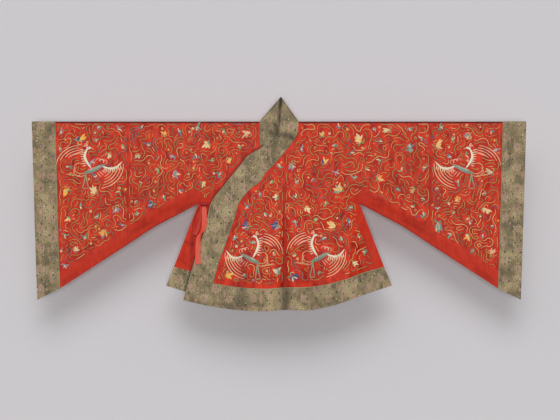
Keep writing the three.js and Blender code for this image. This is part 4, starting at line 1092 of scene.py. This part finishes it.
blossoms = []  # x, d, layer, colour, spin, size
for name, layer, outline, birds, seed in (
    ("left_front", "over", LEFT_FRONT, FRONT_BIRDS[:1], 11),
    ("overlap", "over", OVERLAP_FRONT, FRONT_BIRDS[1:], 23),
    ("right_front", "under", RIGHT_FRONT, [], 31),
    ("sleeve_left_front", "over", SLEEVE, [SLEEVE_BIRD], 47),
    ("sleeve_right_front", "under", flip(SLEEVE), [(1, -788, 188, 258, 190)], 59),
    ("left_back", "back", HALF_BACK, BACK_BIRDS[:1], 67),
    ("right_back", "back", flip(HALF_BACK), BACK_BIRDS[1:], 79),
    ("sleeve_left_back", "back", SLEEVE, [SLEEVE_BIRD], 83),
    ("sleeve_right_back", "back", flip(SLEEVE), [(1, -784, 188, 256, 190)], 97),
):
    rng = random.Random(seed)
    ground, corner = open_ground(outline, 4)
    strokes = [one for ring in birds for one in bird(*ring)]
    for line, half, _ in strokes:
        take(ground, corner, along_line(line, 24), 5 + half.max())
    heads = []
    for make, spacing, clear in ((bloom, 112, 20), (leaves, 62, 12)):
        for _ in range(900):
            middle = spot(rng, ground, corner)
            if middle is None or any(np.hypot(*(middle - other)) < spacing for other in heads):
                continue
            if is_open(ground, corner, middle + clear * np.array([[1, 0], [-1, 0], [0, 1], [0, -1]])):
                heads.append(middle)
                grown = make(rng, middle)
                strokes += grown
                for line, half, _ in grown:
                    take(ground, corner, along_line(line, 12), 3.5 + half.max())
    for make, tries in ((vine, 380), (squiggle, 240)):
        for _ in range(tries):
            start = spot(rng, ground, corner)
            if start is not None:
                strokes += make(rng, ground, corner, start)
    for _ in range(14):
        start = spot(rng, ground, corner)
        if start is not None:
            blossoms.append((start[0], start[1], layer, rng.choice(BLOOM_COLOURS), rng.uniform(0, 6.28),
                             rng.uniform(0.6, 0.95)))
            take(ground, corner, start[None], 12)
    lay_floss(f"embroidery_{name}", strokes, layer)

# Small five-petalled blossoms of satin stitch, one pattern worked many times over, each turned
# its own way and raised a little in the middle of every petal.
flowers = bpy.data.node_groups.new("small_blossoms", "GeometryNodeTree")
for label, kind in (
    ("Places", "Geometry"), ("Petals", "Int"), ("Petal length", "Float"), ("Floss", "Material"),
):
    flowers.interface.new_socket(label, in_out="INPUT", socket_type=f"NodeSocket{kind}")
flowers.interface.new_socket("Blossoms", in_out="OUTPUT", socket_type="NodeSocketGeometry")
given = add(flowers, "NodeGroupInput").outputs
one = add(flowers, "GeometryNodeMeshUVSphere", {"Segments": 6, "Rings": 3, "Radius": 1.0})
half = add(flowers, "ShaderNodeMath", {0: given["Petal length"], 1: 0.5}, operation="MULTIPLY")
slim = add(flowers, "ShaderNodeMath", {0: half, 1: 0.62}, operation="MULTIPLY")
form = add(flowers, "ShaderNodeCombineXYZ", {0: half, 1: slim, 2: 0.0008})
single = add(flowers, "GeometryNodeTransform", {"Geometry": one, "Scale": form})
hub = add(flowers, "GeometryNodeMeshCircle", {"Vertices": given["Petals"], "Radius": half})
outward = add(flowers, "GeometryNodeInputPosition")
radial = add(flowers, "FunctionNodeAlignRotationToVector", {"Vector": outward}, axis="X")
ring = add(flowers, "GeometryNodeInstanceOnPoints",
           {"Points": hub, "Instance": single, "Rotation": radial})
head = add(flowers, "GeometryNodeRealizeInstances", {"Geometry": ring})
facing = add(flowers, "GeometryNodeInputNamedAttribute", {"Name": "facing"}, data_type="FLOAT_VECTOR")
spin = add(flowers, "GeometryNodeInputNamedAttribute", {"Name": "spin"}, data_type="FLOAT")
size = add(flowers, "GeometryNodeInputNamedAttribute", {"Name": "size"}, data_type="FLOAT")
stand = add(flowers, "FunctionNodeAlignRotationToVector", {"Vector": facing}, axis="Z")
turn = add(flowers, "FunctionNodeAxisAngleToRotation", {"Axis": (0.0, 0.0, 1.0), "Angle": spin})
both = add(flowers, "FunctionNodeRotateRotation",
           {"Rotation": stand, "Rotate By": turn}, rotation_space="LOCAL")
grown = add(flowers, "GeometryNodeInstanceOnPoints",
            {"Points": given["Places"], "Instance": head, "Rotation": both,
             "Scale": size})
whole = add(flowers, "GeometryNodeRealizeInstances", {"Geometry": grown})
dressed = add(flowers, "GeometryNodeSetMaterial", {"Geometry": whole, "Material": given["Floss"]})
add(flowers, "NodeGroupOutput", {0: dressed})


def grow(name, tree, places, normals, values, colours, **settings):
    """A mesh of what the tree makes at each place, in metres, as a plain mesh."""
    mesh = bpy.data.meshes.new(name)
    mesh.from_pydata([tuple(p * MM) for p in places], [], [])
    mark(mesh, "facing", normals, "FLOAT_VECTOR", "vector")
    for key, numbers in values.items():
        mark(mesh, key, numbers)
    mark(mesh, "floss", [linear(c) for c in colours], "FLOAT_COLOR", "color")
    made = bpy.data.objects.new(name, mesh)
    bpy.context.scene.collection.objects.link(made)
    modifier = made.modifiers.new(name, "NODES")
    modifier.node_group = tree
    for item in tree.interface.items_tree:
        if item.in_out == "INPUT" and item.name in settings:
            modifier[item.identifier] = settings[item.name]
    evaluated = made.evaluated_get(bpy.context.evaluated_depsgraph_get())
    plain = bpy.data.meshes.new_from_object(evaluated)
    made.modifiers.remove(modifier)
    made.data = plain
    return made


for side, layers in (("front", ("over", "under")), ("back", ("back",))):
    some = [b for b in blossoms if b[2] in layers]
    spots = [(on_cloth(np.array([b[0], b[1]]), b[2], PANEL_OUT + 0.3),
              outwards(np.array(b[0]), np.array(b[1]), b[2])) for b in some]
    made = grow(f"blossoms_{side}", flowers, [s[0] for s in spots], [s[1] for s in spots],
                {"spin": [b[4] for b in some], "size": [b[5] for b in some]}, [b[3] for b in some],
                **{"Petals": 5, "Petal length": 0.008, "Floss": silk_floss})
    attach(made, "root")

# ---------------------------------------------------------------------------------------------
# Edging: a thin braid of green and cream floss, couched 2 mm inside each edge of the brocade
# bands, over the stitches that hold the bands down.


def beside(line, off):
    """A line on the flat cloth moved sideways, and cut again into even steps."""
    moved = shifted(line, off)
    run = np.linalg.norm(np.diff(moved, axis=0), axis=1).sum()
    return along_line(moved, int(run / 7))


BRAID = ["#7c8766", "#8c9270", "#a09870"]
over_free = over_rows[8:, 2:]
across_back = np.linspace(-430, 430, 87)
braids = {
    "over": [beside(over_rows[:, :2], 2), beside(over_free, -2),
             beside(hem_rows[:, :2][hem_rows[:, 0] > overlap_seam[-1, 0] + 4], 2)],
    "under": [beside(under_rows[: lap - 4, :2], -2)],
    "back": [beside(np.column_stack([across_back, hem_line(np.abs(across_back), False)[:, 1]]), 2)],
}
sleeve_edge = CUFF_SEAM[9:] + np.array([3.0, 0])
braids["over"].append(along_line(sleeve_edge, 96))
braids["under"].append(along_line(sleeve_edge * np.array([-1, 1]), 96))
braids["back"] += [along_line(sleeve_edge, 96), along_line(sleeve_edge * np.array([-1, 1]), 96)]
for layer, lines in braids.items():
    lay_floss(f"edging_{layer}", [floss(line, 2.6, BRAID[k % 3]) for k, line in enumerate(lines)],
              layer, BAND_OUT)

# ---------------------------------------------------------------------------------------------
# Ribbon ties: strips of coral silk, cut 20 mm wide, knotted where the crossed front closes under the
# wearer's right arm. One long end hangs with a twist in it, one short end and one thin loop hang beside it;
# the short end is a darker copy of the coral silk, as painted shade. The knot is the same silk, pulled
# tight, in a darker crimson.


def ribbon_silk(name, dark, light):
    """Plain ribbon silk: fine ribs across, with soft streaks along it."""
    made, tree, shader = finish(name)
    run = add(tree, "ShaderNodeUVMap", uv_map="UVMap").outputs["UV"]
    streaks = add(tree, "ShaderNodeMapping", {"Vector": run, "Scale": (260.0, 24.0, 1.0)})
    streaks = add(tree, "ShaderNodeTexNoise", {"Vector": streaks, "Scale": 1.0, "Detail": 2.0})
    red = add(tree, "ShaderNodeMix", {0: streaks, 6: linear(dark), 7: linear(light)}, **RGBA)
    ribs = add(tree, "ShaderNodeTexWave", {"Vector": run, "Scale": 180.0, "Distortion": 0.6},
               bands_direction="Y")
    bump = add(tree, "ShaderNodeBump", {"Strength": 0.3, "Distance": 0.0003, "Height": ribs})
    feed(tree, shader, {"Base Color": red, "Normal": bump, "Roughness": 0.5, "Specular IOR Level": 0.2})
    return made


coral_ribbon = ribbon_silk("silk_ribbon_coral", "#c23a2c", "#e8644e")
# a darker copy of the coral silk: painted shade for the short end
shaded_ribbon = ribbon_silk("silk_ribbon_painted_shade", "#a52420", "#c83a2c")
crimson_ribbon = ribbon_silk("silk_ribbon_crimson", "#84171a", "#b2292a")

# The knot: a lump 34 by 18 mm, drawn in by one pass of ribbon over its middle, with the pleats
# of the gathered strip running into that pass from both sides.
KNOT_AT = (-310, 342)
KNOT_HALF = np.array([17, 6.5, 9])
u, v = np.meshgrid(np.linspace(0, 2 * math.pi, 65)[:-1], np.linspace(0, math.pi, 33), indexing="ij")
ball = np.stack([np.cos(v), np.sin(v) * np.cos(u), np.sin(v) * np.sin(u)], axis=-1)
over_middle = np.exp(-(((ball[..., 0] + 0.06 * ball[..., 2]) / 0.2) ** 4))
pleats = 0.06 * np.cos(9 * u + 4 * ball[..., 0]) * np.sin(v) ** 2 * (1 - over_middle)
waist = 1 - 0.16 * np.exp(-((np.abs(ball[..., 0]) - 0.3) / 0.1) ** 2)
ball[..., 1:] *= ((waist + pleats + 0.05 * over_middle) / 1.06)[..., None]
out = float(hang(*map(np.float64, KNOT_AT), "under")) + PANEL_OUT + 2.6 + KNOT_HALF[1]
ball = ball * KNOT_HALF + np.array([KNOT_AT[0], -out, FOLD_RADIUS - KNOT_AT[1]])
index = np.arange(ball.shape[0] * ball.shape[1]).reshape(ball.shape[:2])
a, b = index, np.roll(index, -1, axis=0)
faces = np.vstack([
    np.stack([a[:, :-1], a[:, 1:], b[:, 1:]], -1).reshape(-1, 3),
    np.stack([a[:, :-1], b[:, 1:], b[:, :-1]], -1).reshape(-1, 3),
])
places = ball.reshape(-1, 3)
_, first, joined = np.unique(np.round(places, 4), axis=0, return_index=True, return_inverse=True)
faces = joined.reshape(-1)[faces]
faces = faces[(faces[:, 0] != faces[:, 1]) & (faces[:, 1] != faces[:, 2]) & (faces[:, 0] != faces[:, 2])]
places = places[first]
knot = solid("tie_knot_silk", places, faces, (places[:, [2, 0]] * MM)[faces])
knot.data.materials.append(crimson_ribbon)
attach(knot, "root")
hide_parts("tie_knot")


def ribbon(name, rows, node, material):
    """A strip through rows of x, d, distance off the cloth, width, turn in degrees."""
    x, d, off, wide, turned = through(rows, 9).T
    middle = np.column_stack([x, -(hang(x, d, "over") + BAND_OUT + off), FOLD_RADIUS - d])
    along = np.gradient(middle, axis=0)
    along /= np.linalg.norm(along, axis=1, keepdims=True)
    level = np.array([1.0, 0, 0]) - along * along[:, :1]
    level /= np.linalg.norm(level, axis=1, keepdims=True)
    turned = np.radians(turned)[:, None]
    across = level * np.cos(turned) + np.cross(along, level) * np.sin(turned)
    face = np.cross(along, across)
    run = np.concatenate([[0], np.cumsum(np.linalg.norm(np.diff(middle, axis=0), axis=1))])
    u = np.linspace(-1, 1, 11)
    dish = 0.7 * (u**2 - 0.4) + 0.35 * np.sin(run[:, None] / 11 + 2.2 * u) * np.abs(u)
    sheets = [
        middle[:, None] + across[:, None] * (u[None, :, None] * wide[:, None, None] / 2)
        + face[:, None] * (dish + lift)[..., None] for lift in (0.5, -0.5)
    ]
    n, m = len(run), len(u)
    top = np.arange(n * m).reshape(n, m)
    ring = np.concatenate([top, top[:, ::-1] + n * m, top[:, :1]], axis=1)
    p, q, r, s = ring[:-1, :-1], ring[:-1, 1:], ring[1:, 1:], ring[1:, :-1]
    faces = [np.stack([p, q, r], -1).reshape(-1, 3), np.stack([p, r, s], -1).reshape(-1, 3)]
    for k, way in ((0, 1), (n - 1, -1)):
        low = top[k] + n * m
        cap = np.vstack([np.column_stack([top[k, :-1], low[:-1], low[1:]]),
                         np.column_stack([top[k, :-1], low[1:], top[k, 1:]])])
        faces.append(cap[:, ::way])
    flat = np.stack(np.broadcast_arrays(u * wide[:, None] / 2, run[:, None]), -1).reshape(-1, 2) * MM
    faces = np.vstack(faces)
    made = solid(name, np.vstack([sheet.reshape(-1, 3) for sheet in sheets]), faces,
                 np.vstack([flat, flat])[faces])
    made.data.materials.append(material)
    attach(made, "root")
    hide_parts(node)
    return made


ribbon("tie_long_end", [
    (-311, 352, 3, 14, 0), (-310, 368, 3, 20, 0), (-309, 410, 3, 21, 6), (-311, 440, 4, 20, 20),
    (-322, 462, 6, 19, 62), (-332, 482, 5, 20, 24), (-335, 510, 3, 21, 4), (-336, 556, 3, 21, 0),
    (-334, 590, 3, 21, 0),
], "tie_tail_long", coral_ribbon)
ribbon("tie_short_end", [
    (-323, 349.5, 6, 5, 0), (-326, 380, 2.5, 9, 0), (-328, 412, 1.6, 10, 0), (-338, 446, 1.6, 15, 0),
    (-351, 468, 1.6, 18, 0),
], "tie_tail_short", shaded_ribbon)
ribbon("tie_thin_loop", [
    (-327.9, 343, 7.5, 12, 86), (-342, 366, 5, 14, 86), (-354, 398, 4, 14, 86), (-362, 430, 4, 13, 86),
    (-363, 452, 4, 11, 86),
], "tie_loop", coral_ribbon)

# ---------------------------------------------------------------------------------------------
# Hanging rod: a plain round bar of pale wood inside the sleeves, the one thing here that isn't
# part of the garment.

ash, tree, shader = finish("ash_wood_sanded")
where = add(tree, "ShaderNodeTexCoord").outputs["Object"]
stretched = add(tree, "ShaderNodeMapping", {"Vector": where, "Scale": (3.0, 160.0, 160.0)})
grain = add(tree, "ShaderNodeTexNoise", {"Vector": stretched, "Scale": 1.0, "Detail": 4.0})
wood = add(tree, "ShaderNodeMix", {0: grain, 6: linear("#b9ab92"), 7: linear("#d8cdb8")}, **RGBA)
bump = add(tree, "ShaderNodeBump", {"Strength": 0.2, "Distance": 0.0003, "Height": grain})
feed(tree, shader, {"Base Color": wood, "Normal": bump, "Roughness": 0.55})
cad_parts["hanging_rod"].data.materials.clear()
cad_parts["hanging_rod"].data.materials.append(ash)

# ---------------------------------------------------------------------------------------------
# Backdrop, lights and camera: a pale wall close behind the hanging jacket, a wide soft light from
# above and in front, a weaker one straight from the front, and one on the back for other sides.

PALE_GREY = linear("#ccc9cc")
wall_paint, tree, shader = finish("matte_wall_paint")
feed(tree, shader, {"Base Color": PALE_GREY, "Roughness": 1.0, "Specular IOR Level": 0.0})
clear = add(tree, "ShaderNodeBsdfTransparent")
facing = add(tree, "ShaderNodeNewGeometry").outputs["Backfacing"]
one_sided = add(tree, "ShaderNodeMixShader", {0: facing, 1: shader, 2: clear})
feed(tree, tree.nodes["Material Output"], {"Surface": one_sided})
wall = solid("wall", np.array([[-6000, 150, -5000], [6000, 150, -5000], [6000, 150, 4000],
                               [-6000, 150, 4000]], float), np.array([[0, 1, 2], [0, 2, 3]]))
wall.data.materials.append(wall_paint)
wall.visible_shadow = False

world = bpy.data.worlds.new("studio")
world.use_nodes = True
bpy.context.scene.world = world
tree = world.node_tree
seen = add(tree, "ShaderNodeBackground", {"Color": PALE_GREY, "Strength": 1.0})
lit = add(tree, "ShaderNodeBackground", {"Color": (1.0, 1.0, 1.0, 1.0), "Strength": 0.15})
ray = add(tree, "ShaderNodeLightPath").outputs["Is Camera Ray"]
both = add(tree, "ShaderNodeMixShader", {0: ray, 1: lit, 2: seen})
feed(tree, tree.nodes["World Output"], {"Surface": both})

for name, strength, spread, elevation, azimuth in (
    ("key", 1.36, 34, 47, 0), ("left", 0.42, 40, 40, -42), ("right", 0.2, 40, 40, 42),
    ("fill", 1.36, 16, -2, 0), ("behind", 0.5, 60, 35, 180),
):
    lamp = bpy.data.lights.new(name, "SUN")
    lamp.energy = strength
    lamp.angle = math.radians(spread)
    made = bpy.data.objects.new(name, lamp)
    made.rotation_euler = (math.radians(90 - elevation), 0, math.radians(azimuth))
    bpy.context.scene.collection.objects.link(made)

bpy.context.scene.view_settings.view_transform = "Standard"
camera = bpy.data.cameras.new("camera")
camera.lens = 135
camera.sensor_width = 36
camera.clip_end = 60
view = bpy.data.objects.new("camera", camera)
view.location = (0.004, -2.324 / 36 * 135, -0.354)
view.rotation_euler = (math.radians(90), 0, 0)
bpy.context.scene.collection.objects.link(view)
bpy.context.scene.camera = view
